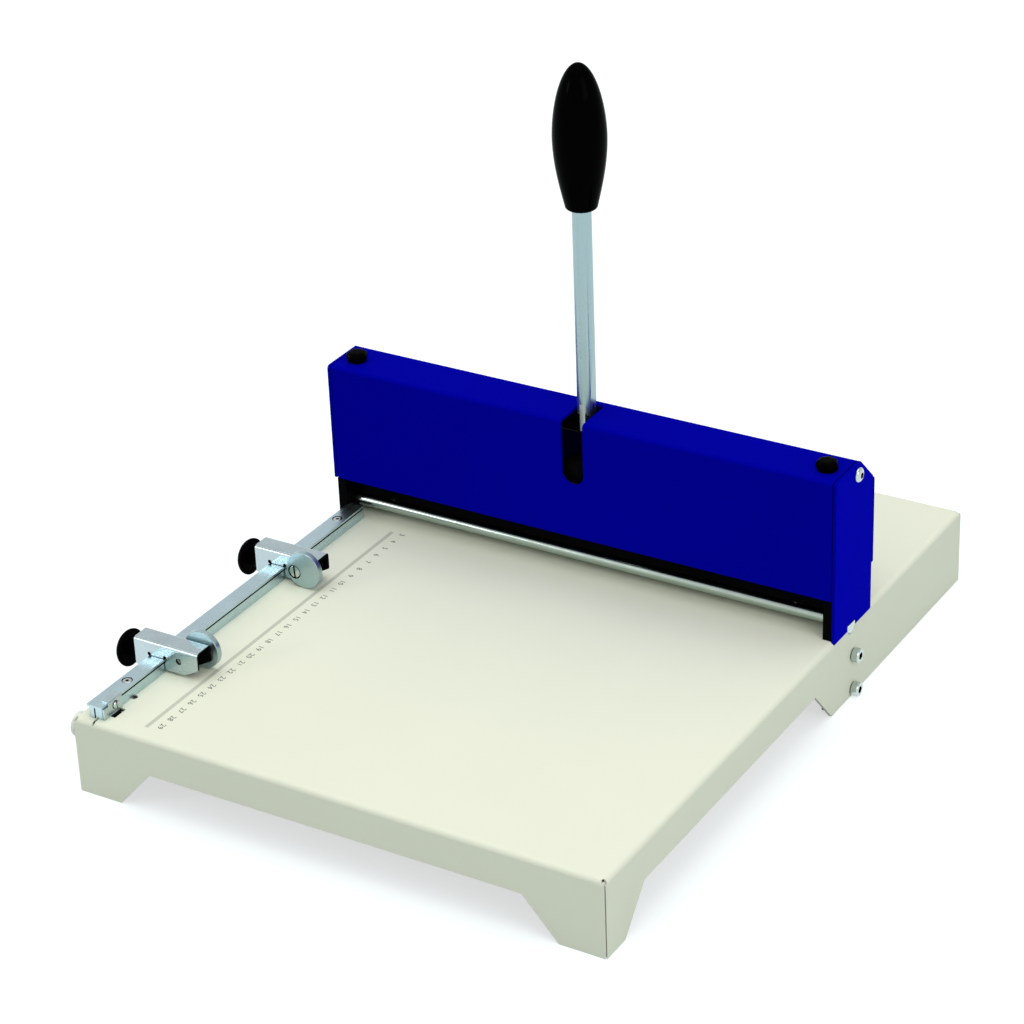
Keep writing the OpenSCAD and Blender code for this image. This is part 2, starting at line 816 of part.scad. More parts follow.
module tool_beam() {
    slot_h = blade_top - beam_z0;
    color(black) on_table() difference() {
        union() {
            translate([-beam_half_x, -beam_half, beam_z0])
                cube([2 * beam_half_x, 2 * beam_half, beam_z1 - beam_z0]);
            translate([-tenon_x, -tenon_half, beam_z0])
                cube([2 * tenon_x, 2 * tenon_half, beam_z1 - beam_z0]);
            for (x = [-cam_x, cam_x])
                translate([x - pad_len / 2, -shaft_y - pad_y0, beam_z1 - eps])
                    cube([pad_len, pad_y0 + shaft_d / 2, pad_top - beam_z1 + eps]);
        }
        translate([-far / 2, -blade_t / 2 - fit, beam_z0 - 1])
            cube([far, blade_pitch + blade_t + 2 * fit, slot_h + 1]);
        for (x = [-press_bolt_x, press_bolt_x], y = press_bolt_ys) translate([x, y, 0]) {
            cylinder(d = press_bolt_d + 2 * gap, h = far);
            translate([0, 0, -1]) cylinder(d = spring_pocket_d, h = blade_top + 1);
        }
        for (x = blade_screw_x) translate([x, blade_pitch, blade_screw_z]) bar_y(blade_screw_d + 2 * fit, far);
    }
}

blade_screw_x = [-135, -67.5, 0, 67.5, 135];
blade_screw_z = 21.5;
blade_screw_d = 4;

module blade_screws() {
    y0 = blade_pitch + blade_t / 2;
    color(zinc) on_table() for (x = blade_screw_x) translate([x, y0, blade_screw_z]) {
        bar_y(blade_screw_d, beam_half - y0);
        translate([0, beam_half - y0, 0]) difference() {
            bar_y(blade_screw_d * 1.75, blade_screw_d * 0.9);
            translate([0, blade_screw_d * 0.4, 0]) bar_y(blade_screw_d * 0.85, blade_screw_d, 6);
        }
    }
}

// Creasing rule with a rounded lower edge
module crease_blade() {
    r = blade_t / 2;
    color(zinc) on_table() along_x(-blade_len / 2, blade_len / 2) {
        translate([-r, crease_tip + r]) square([blade_t, blade_top - crease_tip - r]);
        translate([0, crease_tip + r]) circle(r, $fn = 16);
    }
}

module blade_spacer() {
    color(steel) on_table() translate([-blade_len / 2, blade_t / 2, beam_z0])
        cube([blade_len, blade_pitch - blade_t, blade_top - beam_z0]);
}

// Perforating rule: a row of teeth along its lower edge
module perforating_blade() {
    root = perf_tip + 1.8;
    teeth = floor(blade_len / tooth_pitch);
    x0 = -teeth * tooth_pitch / 2;
    color(zinc) on_table() along_y(blade_pitch - blade_t / 2, blade_pitch + blade_t / 2)
        polygon([[-blade_len / 2, blade_top], [-blade_len / 2, root], [x0, root],
            for (i = [0:teeth - 1], p = [[0.25, 0], [0.55, 0], [0.8, 1], [1, 1]])
                [x0 + (i + p[0]) * tooth_pitch, perf_tip + p[1] * (root - perf_tip)],
            [blade_len / 2, root], [blade_len / 2, blade_top]]);
}

// ---------- springs ----------

spring_sides = 6;
spring_rings = 10;

function coil_z(s, len, wire) = wire / 2 + (len - wire) * s;

// One unbroken wire wound from z = 0 to z = len
module coil(d, wire, len, turns) {
    n = turns * spring_rings;
    pts = [for (i = [0:n], j = [0:spring_sides - 1])
        let (a = 360 * i / spring_rings, b = 360 * j / spring_sides,
            r = d / 2 - wire / 2 + wire / 2 * cos(b))
            [r * cos(a), r * sin(a), coil_z(i / n, len, wire) + wire / 2 * sin(b)]];
    walls = [for (i = [0:n - 1], j = [0:spring_sides - 1])
        let (k = (j + 1) % spring_sides, p = i * spring_sides)
            each [[p + j, p + k, p + spring_sides + j],
                [p + k, p + spring_sides + k, p + spring_sides + j]]];
    ends = [for (j = [1:spring_sides - 2]) each [[0, j + 1, j],
        [n * spring_sides, n * spring_sides + j, n * spring_sides + j + 1]]];
    echo(coil_gap = (len - wire) / turns - wire);
    polyhedron(points = pts, faces = concat(walls, ends));
}

module return_springs() {
    z0 = beam_z1 + 0.1;
    z1 = tie_z - tie_d / 2 - 0.1;
    color(zinc) on_table() for (x = [-return_x, return_x])
        translate([x, tie_y, z0]) coil(return_spring_d, return_wire, z1 - z0, 13);
}

module press_springs() {
    z0 = press_z0 + press_h + stroke - press_travel + 0.2;
    color(zinc) on_table() for (x = [-press_bolt_x, press_bolt_x], y = press_bolt_ys)
        translate([x, y, z0]) coil(press_spring_d, press_wire, blade_top - z0 - 0.1, 6);
}

// ---------- press bar ----------

// Bar with a half-round front, slotted for the two blades
module press_bar() {
    r = press_h / 2;
    slot = blade_t + 2 * gap + 1;
    z1 = press_z0 + press_h;
    color(zinc) on_table() difference() {
        union() {
            along_x(-beam_half_x, beam_half_x) {
                translate([-press_half + r, press_z0]) square([2 * press_half - r, press_h]);
                translate([-press_half + r, press_z0 + r]) circle(r);
            }
            translate([-tenon_x, -tenon_half, z1 - press_tenon_h])
                cube([2 * tenon_x, 2 * tenon_half, press_tenon_h]);
        }
        for (y = [0, blade_pitch])
            translate([-blade_len / 2 - 1, y - slot / 2, press_z0 - 1])
                cube([blade_len + 2, slot, press_h + 2]);
        for (x = [-press_bolt_x, press_bolt_x], y = press_bolt_ys)
            translate([x, y, press_z0 + 1.5]) cylinder(d = press_bolt_d + 2 * fit, h = press_h);
    }
}

module press_bar_bolts() {
    z0 = press_z0 + 1.5;
    color(zinc) on_table() for (x = [-press_bolt_x, press_bolt_x], y = press_bolt_ys)
        translate([x, y, 0]) {
            translate([0, 0, z0]) cylinder(d = press_bolt_d, h = beam_z1 + gap - z0);
            translate([0, 0, beam_z1 + gap]) difference() {
                cylinder(d = 7.4, h = 4);
                translate([0, 0, 2]) cylinder(d = 3.9, h = 4, $fn = 6);
            }
        }
}

// ---------- guide rail ----------

module rail_screw_cut() {
    sink = 1.9;
    cylinder(d = rail_screw_d + 2 * fit, h = far, center = true);
    translate([0, 0, rail_h - sink])
        cylinder(d1 = rail_screw_d + 0.2, d2 = rail_screw_head + 0.6, h = sink + eps);
}

// Core with a round front end and a shallow groove under the cap's right edge
module rail_core() {
    end_r = 2.6;
    groove = 0.9;
    groove_start = 8;
    color(zinc) on_table() difference() {
        translate([rail_x0, -rail_y0, 0]) {
            translate([0, end_r, 0]) cube([rail_w, rail_y0 - rail_y1 - end_r, cap_z0]);
            translate([end_r, 0, 0]) cube([rail_w - 2 * end_r, end_r + 1, cap_z0]);
            for (x = [end_r, rail_w - end_r]) translate([x, end_r, 0]) cylinder(r = end_r, h = cap_z0);
        }
        translate([rail_x1 - groove, -rail_y0 + groove_start, cap_z0 - groove])
            cube([groove + 1, rail_y0, groove + 1]);
        translate([rail_mid - 0.5, -rail_y0 - 1, -1]) cube([1, 3.2, rail_h]);
        for (y = [rail_screw_y0, rail_screw_y1]) translate([rail_mid, -y, 0]) rail_screw_cut();
        translate([rail_x1 - bracket_screw_len, bracket_y0 + bracket_len / 2, bracket_screw_z])
            bar_x(bracket_screw_d + 2 * fit, 2 * bracket_screw_len);
    }
}

module rail_cap() {
    color(zinc) on_table() difference() {
        translate([rail_x0, -rail_y0 - 0.6, cap_z0])
            cube([rail_w + cap_over, rail_y0 - rail_y1 + 0.6, rail_cap_t]);
        for (y = [rail_screw_y0, rail_screw_y1]) translate([rail_mid, -y, 0]) {
            rail_screw_cut();
            for (s = [-1, 1]) translate([0, s * 1.2, 0]) cylinder(d = rail_screw_d + 0.6, h = far);
        }
    }
}

module rail_screws() {
    color(zinc) on_table() for (y = [rail_screw_y0, rail_screw_y1]) translate([rail_mid, -y, 0]) difference() {
        union() {
            translate([0, 0, -sheet_t - 2.5]) cylinder(d = rail_screw_d, h = rail_h + sheet_t + 2);
            translate([0, 0, rail_h - 1.8]) cylinder(d1 = rail_screw_d, d2 = rail_screw_head - 0.2, h = 1.6);
        }
        translate([0, 0, rail_h - 1]) cylinder(d = 2.2, h = 2, $fn = 6);
    }
}

bracket_screw_z = 5.4;
bracket_screw_d = 2.5;
bracket_screw_len = rail_w * 0.57;

// Small angle on the rail's right side; its tongue hooks through the table
module rail_bracket() {
    y0 = bracket_y0 - bracket_side;
    len = bracket_len + 2 * bracket_side;
    lip = 4;
    bracket_low = 4.4;
    tongue = 0.6;
    z1 = rail_h + 0.05;
    x0 = rail_x1 + cap_over + 0.05;
    color(zinc) on_table() difference() {
        union() {
            translate([x0, y0, 0.2]) cube([bracket_t, len, z1 + bracket_t - 0.2]);
            translate([x0 - lip, y0, z1]) cube([lip + bracket_t, len, bracket_t]);
            translate([x0, y0 - bracket_low, 0.2]) cube([bracket_t, bracket_low + 1, cap_z0 - 0.6]);
            translate([x0, bracket_y0 + tongue, -sheet_t - 4]) cube([bracket_t, bracket_len - 2 * tongue, 8]);
        }
        translate([x0 - 1, bracket_y0 + bracket_len / 2, bracket_screw_z]) bar_x(3, bracket_t + 2);
    }
}

module rail_bracket_screw() {
    x1 = rail_x1 + cap_over + 0.05 + bracket_t;
    color(zinc) on_table() translate([x1, bracket_y0 + bracket_len / 2, bracket_screw_z]) {
        translate([-bracket_screw_len, 0, 0]) bar_x(bracket_screw_d, bracket_screw_len + eps);
        difference() {
            bar_x(4.6, 1.2);
            translate([0.6, -0.35, -3]) cube([2, 0.7, 6]);
        }
    }
}

// Low domed bolt on the left wall, near the front corner
module wall_button_bolt() {
    dome_r = 26;
    color(zinc) on_table() translate([-half_w, button_y, button_z]) {
        rotate([0, -90, 0]) rotate_extrude() intersection() {
            square([button_head_d / 2, button_head_h]);
            translate([0, button_head_h - dome_r]) circle(dome_r);
        }
        bar_x(button_shank_d, sheet_t + 3);
        translate([sheet_t, 0, 0]) bar_x(button_nut_d, button_nut_h, 6);
    }
}

// ---------- paper stops ----------

module at_stop(y) {
    on_table() translate([0, -y, 0]) children();
}

// Side view of the bracket's flanges, drawn in (X, Z)
module stop_side() {
    relief_d = 2.6;
    relief_up = 0.6;
    left = rail_x0 - gap;
    right = rail_x1 + cap_over + gap;
    top = stop_h - stop_bend;
    difference() {
        polygon([[stop_x0, stop_foot], [left, stop_foot], [left, notch_top], [right, notch_top],
            [right, stop_foot_right], [stop_x1 - stop_cut, stop_foot_right], [stop_x1, stop_end_z],
            [stop_x1, top], [stop_x0, top]]);
        for (x = [left, right]) translate([x, notch_top + relief_up]) circle(d = relief_d);
        translate([disc_x, disc_z]) circle(d = disc_screw_d + 2 * fit);
    }
}

// Inverted channel that rides on the rail, closed at its left end
module stop_bracket() {
    half = stop_w / 2;
    color(zinc) difference() {
        union() {
            along_y(-half, -half + stop_t) stop_side();
            along_y(half - stop_t, half) stop_side();
            along_x(stop_x0, stop_x1) difference() {
                translate([-half, stop_h - stop_bend - eps]) round_top(stop_w, stop_bend + eps, stop_bend);
                translate([-half + stop_t, 0])
                    round_top(stop_w - 2 * stop_t, stop_h - stop_t, stop_bend - stop_t);
            }
            translate([stop_x0, -half + stop_t - eps, end_wall_foot])
                cube([stop_t, stop_w - 2 * stop_t + 2 * eps, stop_h - stop_t - end_wall_foot + eps]);
        }
        translate([stop_x0 - 1, 0, clamp_z]) bar_x(clamp_stud_d + 2 * fit, stop_t + 2);
    }
}

// Disc screw with its shoulder; side is -1 on the front flange, 1 on the back flange
module disc_screw(side) {
    half = stop_w / 2;
    color(steel) translate([disc_x, 0, disc_z]) rotate([0, 0, side > 0 ? 180 : 0]) {
        translate([0, -half - gap - disc_t, 0]) bar_y(disc_shoulder_d, disc_t + gap);
        translate([0, -half - eps, 0]) bar_y(disc_screw_d, stop_t + 4);
        translate([0, -half - gap - disc_t, 0]) difference() {
            translate([0, 0.2, 0]) bar_y(disc_head_d, disc_head_t - 0.2 - fit);
            translate([-0.6, -1, -disc_head_d]) cube([1.2, 1.8, 2 * disc_head_d]);
        }
    }
}

module disc_nut(side) {
    half = stop_w / 2;
    color(steel) translate([disc_x, 0, disc_z]) rotate([0, 0, side > 0 ? 180 : 0])
        translate([0, -half + stop_t, 0]) difference() {
            bar_y(8, 3.2, 6);
            translate([0, -1, 0]) bar_y(disc_screw_d + 2 * fit, 6);
        }
}

module stop_disc(side) {
    half = stop_w / 2;
    y0 = side > 0 ? half + gap : -half - gap - disc_t;
    face = side > 0 ? disc_t - disc_head_t : 0;
    edge = 0.4;
    color(zinc) translate([disc_x, y0, disc_z]) difference() {
        translate([disc_cx, 0, disc_cz]) rotate([-90, 0, 0]) {
            cylinder(d1 = disc_d - 2 * edge, d2 = disc_d, h = edge, $fn = 96);
            translate([0, 0, edge]) cylinder(d = disc_d, h = disc_t - 2 * edge, $fn = 96);
            translate([0, 0, disc_t - edge]) cylinder(d1 = disc_d, d2 = disc_d - 2 * edge, h = edge, $fn = 96);
        }
        translate([0, -1, 0]) bar_y(disc_shoulder_d + 2 * fit, disc_t + 2);
        translate([0, side > 0 ? face : -1, 0]) bar_y(disc_head_d + 0.8, disc_head_t + 1);
    }
}

module clamp_pad() {
    color(steel) translate([pad_x - pad_t, 0, clamp_z]) bar_x(6.4, pad_t);
}

module clamp_stud() {
    x0 = clamp_x - clamp_len * 0.6;
    color(steel) translate([x0, 0, clamp_z]) bar_x(clamp_stud_d, pad_x - pad_t - 0.05 - x0);
}

// Mushroom knob: domed outside, with a neck towards the bracket
module clamp_knob() {
    steps = 9;
    rim = 1.4;
    neck_r = clamp_d * 0.23;
    color(black) translate([clamp_x, 0, clamp_z]) rotate([0, -90, 0]) difference() {
        rotate_extrude() polygon([[0, -clamp_neck], [neck_r, -clamp_neck], [neck_r, 0],
            [clamp_d / 2 - 0.8, 0], [clamp_d / 2, 0.8], [clamp_d / 2, rim],
            for (i = [1:steps]) let (a = 90 * i / steps)
                [clamp_d / 2 * pow(cos(a), 0.7), rim + (clamp_len - rim) * pow(sin(a), 1.15)]]);
        translate([0, 0, -clamp_neck - 1])
            cylinder(d = clamp_stud_d + 2 * fit, h = clamp_neck + clamp_len * 0.6 + 1 + fit);
    }
}

module stop_bracket_rear() { at_stop(stop_y_rear) stop_bracket(); }
module disc_nut_rear() { at_stop(stop_y_rear) disc_nut(-1); }
module disc_screw_rear() { at_stop(stop_y_rear) disc_screw(-1); }
module stop_disc_rear() { at_stop(stop_y_rear) stop_disc(-1); }
module clamp_pad_rear() { at_stop(stop_y_rear) clamp_pad(); }
module clamp_stud_rear() { at_stop(stop_y_rear) clamp_stud(); }
module clamp_knob_rear() { at_stop(stop_y_rear) clamp_knob(); }
module stop_bracket_front() { at_stop(stop_y_front) stop_bracket(); }
module disc_nut_front() { at_stop(stop_y_front) disc_nut(1); }
module disc_screw_front() { at_stop(stop_y_front) disc_screw(1); }
module stop_disc_front() { at_stop(stop_y_front) stop_disc(1); }
module clamp_pad_front() { at_stop(stop_y_front) clamp_pad(); }
module clamp_stud_front() { at_stop(stop_y_front) clamp_stud(); }
module clamp_knob_front() { at_stop(stop_y_front) clamp_knob(); }

placed() table_base();
placed() bed_bar();
placed() crease_die();
placed() side_frame_left();
placed() side_frame_right();
placed() frame_bolts();
placed() shaft_bushes();
placed() top_tie_bar();
placed() cover_lugs();
placed() locating_studs();
placed() head_cover();
placed() end_panel_left();
placed() end_panel_right();
placed() end_panel_screws();
placed() knob_washer_left();
placed() knob_washer_right();
placed() cover_knob_left();
placed() cover_knob_right();
placed() lever_shaft();
placed() cam_left();
placed() cam_right();
placed() lever_plate();
placed() hub_collars();
placed() lever_rod();
placed() lever_grip();
placed() tool_beam();
placed() crease_blade();
placed() blade_spacer();
placed() perforating_blade();
placed() blade_screws();
placed() return_springs();
placed() press_bar();
placed() press_bar_bolts();
placed() press_springs();
placed() rail_core();
placed() rail_cap();
placed() rail_screws();
placed() rail_bracket();
placed() rail_bracket_screw();
placed() wall_button_bolt();
placed() stop_bracket_rear();
placed() disc_nut_rear();
placed() disc_screw_rear();
placed() stop_disc_rear();
placed() clamp_pad_rear();
placed() clamp_stud_rear();
placed() clamp_knob_rear();
placed() stop_bracket_front();
placed() disc_nut_front();
placed() disc_screw_front();
placed() stop_disc_front();
placed() clamp_pad_front();
placed() clamp_stud_front();
placed() clamp_knob_front();
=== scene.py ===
import math

import bmesh
import bpy
from mathutils import Matrix, Vector


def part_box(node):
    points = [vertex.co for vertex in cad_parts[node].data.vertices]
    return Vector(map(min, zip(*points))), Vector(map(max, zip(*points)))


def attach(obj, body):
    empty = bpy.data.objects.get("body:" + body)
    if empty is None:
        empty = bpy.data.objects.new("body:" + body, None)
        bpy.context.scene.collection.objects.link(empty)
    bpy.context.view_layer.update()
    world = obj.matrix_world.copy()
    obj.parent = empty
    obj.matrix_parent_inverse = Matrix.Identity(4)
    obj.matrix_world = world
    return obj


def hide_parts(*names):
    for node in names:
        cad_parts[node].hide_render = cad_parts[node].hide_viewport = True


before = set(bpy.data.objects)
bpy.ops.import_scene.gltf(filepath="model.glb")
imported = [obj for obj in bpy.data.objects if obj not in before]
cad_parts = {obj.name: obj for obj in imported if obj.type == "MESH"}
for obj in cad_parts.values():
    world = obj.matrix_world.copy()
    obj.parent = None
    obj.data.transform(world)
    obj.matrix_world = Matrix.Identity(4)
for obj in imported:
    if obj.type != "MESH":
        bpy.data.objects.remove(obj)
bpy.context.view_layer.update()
scene = bpy.context.scene
scene.view_settings.view_transform = "Standard"

# Every piece below is drawn in millimetres: x from the middle of the table,
# y from the crease line towards the back, z above the table's surface.
MM = 0.001
TABLE_FRONT = 306
LO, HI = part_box("table_base")
ORIGIN = Vector(((LO.x + HI.x) / 2, LO.y + TABLE_FRONT * MM, HI.z))
PLACE = Matrix.Translation(ORIGIN) @ Matrix.Scale(MM, 4)

HALF_W = 179
WALL_IN = 177
FRAME_IN = 171
SHAFT_Y, SHAFT_Z = -5, 63


# ---------- mesh helpers ----------

def axes(x, y, z, at=(0, 0, 0)):
    """Matrix that sends the local axes to x, y, z and the local origin to at."""
    m = Matrix((x, y, z)).transposed().to_4x4()
    m.translation = Vector(at)
    return m


def profile_along_x(at=(0, 0, 0)):
    """Local x, y, z become Y, Z, X."""
    return axes((0, 1, 0), (0, 0, 1), (1, 0, 0), at)


def profile_along_y(at=(0, 0, 0)):
    """Local x, y, z become X, Z, -Y."""
    return axes((1, 0, 0), (0, 0, 1), (0, -1, 0), at)


def towards(axis, at):
    """Local z points along axis (+1, -1 for X or Y), for turned pieces."""
    table = {
        "+x": ((0, 1, 0), (0, 0, 1), (1, 0, 0)),
        "-x": ((0, -1, 0), (0, 0, 1), (-1, 0, 0)),
        "+y": ((-1, 0, 0), (0, 0, 1), (0, 1, 0)),
        "-y": ((1, 0, 0), (0, 0, 1), (0, -1, 0)),
        "+z": ((1, 0, 0), (0, 1, 0), (0, 0, 1)),
    }
    return axes(*table[axis], at)


def arc(cx, cy, r, a0, a1, n=8):
    """Points on an arc from angle a0 to a1 in degrees."""
    out = []
    for i in range(n + 1):
        a = math.radians(a0 + (a1 - a0) * i / n)
        out.append((cx + r * math.cos(a), cy + r * math.sin(a)))
    return out


def circle(cx, cy, r, n=48):
    return arc(cx, cy, r, 0, 360, n)[:-1]


def rounded(points, n=6):
    """Closed outline whose corners (x, y, r) are rounded by radius r."""
    out = []
    count = len(points)
    for i, (x, y, r) in enumerate(points):
        p = Vector((x, y))
        if r <= 0:
            out.append((x, y))
            continue
        a = (Vector(points[i - 1][:2]) - p).normalized()
        b = (Vector(points[(i + 1) % count][:2]) - p).normalized()
        half = a.angle(b) / 2
        reach = r / math.tan(half)
        centre = p + (a + b).normalized() * (r / math.sin(half))
        start, end = p + a * reach - centre, p + b * reach - centre
        turn = start.angle_signed(end)
        for k in range(n + 1):
            v = start.copy()
            v.rotate(Matrix.Rotation(-turn * k / n, 2))
            out.append(tuple(centre + v))
    return out


def prism(outline, length):
    """Solid with the outline in local x, y and its length along local z."""
    bm = bmesh.new()
    ring = [bm.verts.new((x, y, 0)) for x, y in outline]
    face = bm.faces.new(ring)
    grown = bmesh.ops.extrude_face_region(bm, geom=[face])["geom"]
    far_end = [v for v in grown if isinstance(v, bmesh.types.BMVert)]
    bmesh.ops.translate(bm, vec=(0, 0, length), verts=far_end)
    bmesh.ops.recalc_face_normals(bm, faces=bm.faces)
    return bm


def block(x0, x1, y0, y1, z0, z1):
    bm = prism([(x0, y0), (x1, y0), (x1, y1), (x0, y1)], z1 - z0)
    bmesh.ops.translate(bm, vec=(0, 0, z0), verts=bm.verts)
    return bm


def lathe(profile, steps=64):
    """Solid turned about local z from (r, z) points; both ends lie on the axis."""
    bm = bmesh.new()
    points = [bm.verts.new((r, 0, z)) for r, z in profile]
    edges = [bm.edges.new(pair) for pair in zip(points, points[1:])]
    bmesh.ops.spin(bm, geom=points + edges, cent=(0, 0, 0), axis=(0, 0, 1), angle=2 * math.pi,
                   steps=steps, use_merge=True)
    bmesh.ops.remove_doubles(bm, verts=bm.verts, dist=0.0005)
    bmesh.ops.dissolve_degenerate(bm, edges=bm.edges, dist=0.0001)
    bmesh.ops.recalc_face_normals(bm, faces=bm.faces)
    return bm


def moved(bm, matrix):
    bmesh.ops.transform(bm, matrix=matrix, verts=bm.verts)
    bmesh.ops.recalc_face_normals(bm, faces=bm.faces)
    return bm


def joined(*parts):
    """One mesh from several closed meshes that keep their own shells."""
    mesh = bpy.data.meshes.new("join")
    out = bmesh.new()
    for bm in parts:
        bm.to_mesh(mesh)
        bm.free()
        out.from_mesh(mesh)
    bpy.data.meshes.remove(mesh)
    return out


def combine(bm, tools, operation):
    """Exact boolean of bm with each tool in turn."""
    def hold(b, name):
        mesh = bpy.data.meshes.new(name)
        b.to_mesh(mesh)
        b.free()
        mesh.materials.append(None)
        mesh.materials.append(None)
        obj = bpy.data.objects.new(name, mesh)
        scene.collection.objects.link(obj)
        return obj

    base = hold(bm, "base")
    helpers = [hold(t, "tool") for t in tools]
    for helper in helpers:
        m = base.modifiers.new("cut", "BOOLEAN")
        m.operation = operation
        m.solver = "EXACT"
        m.object = helper
    done = base.evaluated_get(bpy.context.evaluated_depsgraph_get())
    mesh = bpy.data.meshes.new_from_object(done)
    out = bmesh.new()
    out.from_mesh(mesh)
    bpy.data.meshes.remove(mesh)
    for obj in [base, *helpers]:
        data = obj.data
        bpy.data.objects.remove(obj)
        bpy.data.meshes.remove(data)
    bmesh.ops.remove_doubles(out, verts=out.verts, dist=0.001)
    bmesh.ops.dissolve_limit(out, angle_limit=0.01, verts=out.verts, edges=out.edges)
    return out


def dark(bm):
    """Marks faces, or the faces that a tool will leave, for painted shade: black that stands for the shade in
    recesses, slots and gaps.
    """
    for f in bm.faces:
        f.material_index = 1
    return bm


def cut(bm, *tools):
    return combine(bm, tools, "DIFFERENCE")


def union(bm, *tools):
    return combine(bm, tools, "UNION")


def soften(bm, width, segments=2, angle=32, keep=None):
    """Rounds the edges sharper than angle, or those of them that keep accepts."""
    limit = math.radians(angle)
    picked = [e for e in bm.edges if len(e.link_faces) == 2 and e.calc_face_angle(0) > limit
              and (keep is None or keep(e))]
    bmesh.ops.bevel(bm, geom=picked, offset=width, segments=segments, profile=0.5, affect="EDGES",
                    material=-1, clamp_overlap=True, offset_type="OFFSET")
    return bm


def add(name, bm, material, body, *nodes, slot=None, smooth=38, second=None):
    """Finishes a mesh drawn in millimetres, puts it in the frame and ties it to its body."""
    bmesh.ops.transform(bm, matrix=PLACE, verts=bm.verts)
    bmesh.ops.recalc_face_normals(bm, faces=bm.faces)
    limit = math.radians(smooth)
    for e in bm.edges:
        e.smooth = len(e.link_faces) == 2 and e.calc_face_angle(0) <= limit
    for f in bm.faces:
        f.smooth = True
    mesh = bpy.data.meshes.new(name)
    bm.to_mesh(mesh)
    bm.free()
    mesh.materials.append(material)
    if any(p.material_index for p in mesh.polygons):
        mesh.materials.append(second or PAINTED_SHADE)
    obj = bpy.data.objects.new(name, mesh)
    scene.collection.objects.link(obj)
    flat = obj.modifiers.new("even_shading", "WEIGHTED_NORMAL")
    flat.keep_sharp = True
    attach(obj, body)
    if nodes:
        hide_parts(*nodes)
    return obj


# ---------- materials ----------

def group(name, inputs, outputs):
    tree = bpy.data.node_groups.new(name, "ShaderNodeTree")
    for title, kind, value in inputs:
        socket = tree.interface.new_socket(title, in_out="INPUT", socket_type="NodeSocket" + kind)
        if value is not None:
            socket.default_value = value
    for title, kind in outputs:
        tree.interface.new_socket(title, in_out="OUTPUT", socket_type="NodeSocket" + kind)
    return tree, tree.nodes.new("NodeGroupInput"), tree.nodes.new("NodeGroupOutput")


def noise(tree, vector, scale, detail=3.0, rough=0.55):
    n = tree.nodes.new("ShaderNodeTexNoise")
    n.inputs["Scale"].default_value = scale
    n.inputs["Detail"].default_value = detail
    n.inputs["Roughness"].default_value = rough
    tree.links.new(vector, n.inputs["Vector"])
    return n.outputs["Fac"]


def remap(tree, value, low, high, start=0.3, end=0.7):
    n = tree.nodes.new("ShaderNodeMapRange")
    n.inputs["From Min"].default_value = start
    n.inputs["From Max"].default_value = end
    for key, v in (("To Min", low), ("To Max", high)):
        if hasattr(v, "links"):
            tree.links.new(v, n.inputs[key])
        else:
            n.inputs[key].default_value = v
    tree.links.new(value, n.inputs["Value"])
    return n.outputs["Result"]


def maths(tree, operation, a, b):
    n = tree.nodes.new("ShaderNodeMath")
    n.operation = operation
    for i, v in enumerate((a, b)):
        if hasattr(v, "links"):
            tree.links.new(v, n.inputs[i])
        else:
            n.inputs[i].default_value = v
    return n.outputs[0]


def tinted(tree, colour, amount):
    """Colour times a grey amount."""
    n = tree.nodes.new("ShaderNodeVectorMath")
    n.operation = "SCALE"
    tree.links.new(colour, n.inputs[0])
    tree.links.new(amount, n.inputs["Scale"])
    return n.outputs[0]


def bumped(tree, height, strength, distance):
    n = tree.nodes.new("ShaderNodeBump")
    n.inputs["Distance"].default_value = distance
    if hasattr(strength, "links"):
        tree.links.new(strength, n.inputs["Strength"])
    else:
        n.inputs["Strength"].default_value = strength
    tree.links.new(height, n.inputs["Height"])
    return n.outputs["Normal"]


def make_coat_group():
    """Sprayed or moulded skin: slight mottling, a fine pebbled grain and uneven gloss."""
    tree, i, o = group("coat_skin",
                       [("Vector", "Vector", None), ("Color", "Color", None), ("Mottle", "Float", 0.03),
                        ("Gloss Spread", "Float", 0.06), ("Roughness", "Float", 0.4), ("Grain", "Float", 0.15)],
                       [("Color", "Color"), ("Roughness", "Float"), ("Normal", "Vector")])
    v = i.outputs["Vector"]
    cloud = noise(tree, v, 9, 4)
    low = maths(tree, "SUBTRACT", 1.0, i.outputs["Mottle"])
    high = maths(tree, "ADD", 1.0, i.outputs["Mottle"])
    tree.links.new(tinted(tree, i.outputs["Color"], remap(tree, cloud, low, high)), o.inputs["Color"])
    smear = remap(tree, noise(tree, v, 45, 5, 0.65), -0.5, 0.5)
    spread = maths(tree, "MULTIPLY", smear, i.outputs["Gloss Spread"])
    tree.links.new(maths(tree, "ADD", i.outputs["Roughness"], spread), o.inputs["Roughness"])
    pebble = noise(tree, v, 1400, 2)
    wave = noise(tree, v, 260, 1)
    tree.links.new(bumped(tree, maths(tree, "ADD", pebble, wave), i.outputs["Grain"], 0.00008),
                   o.inputs["Normal"])
    return tree


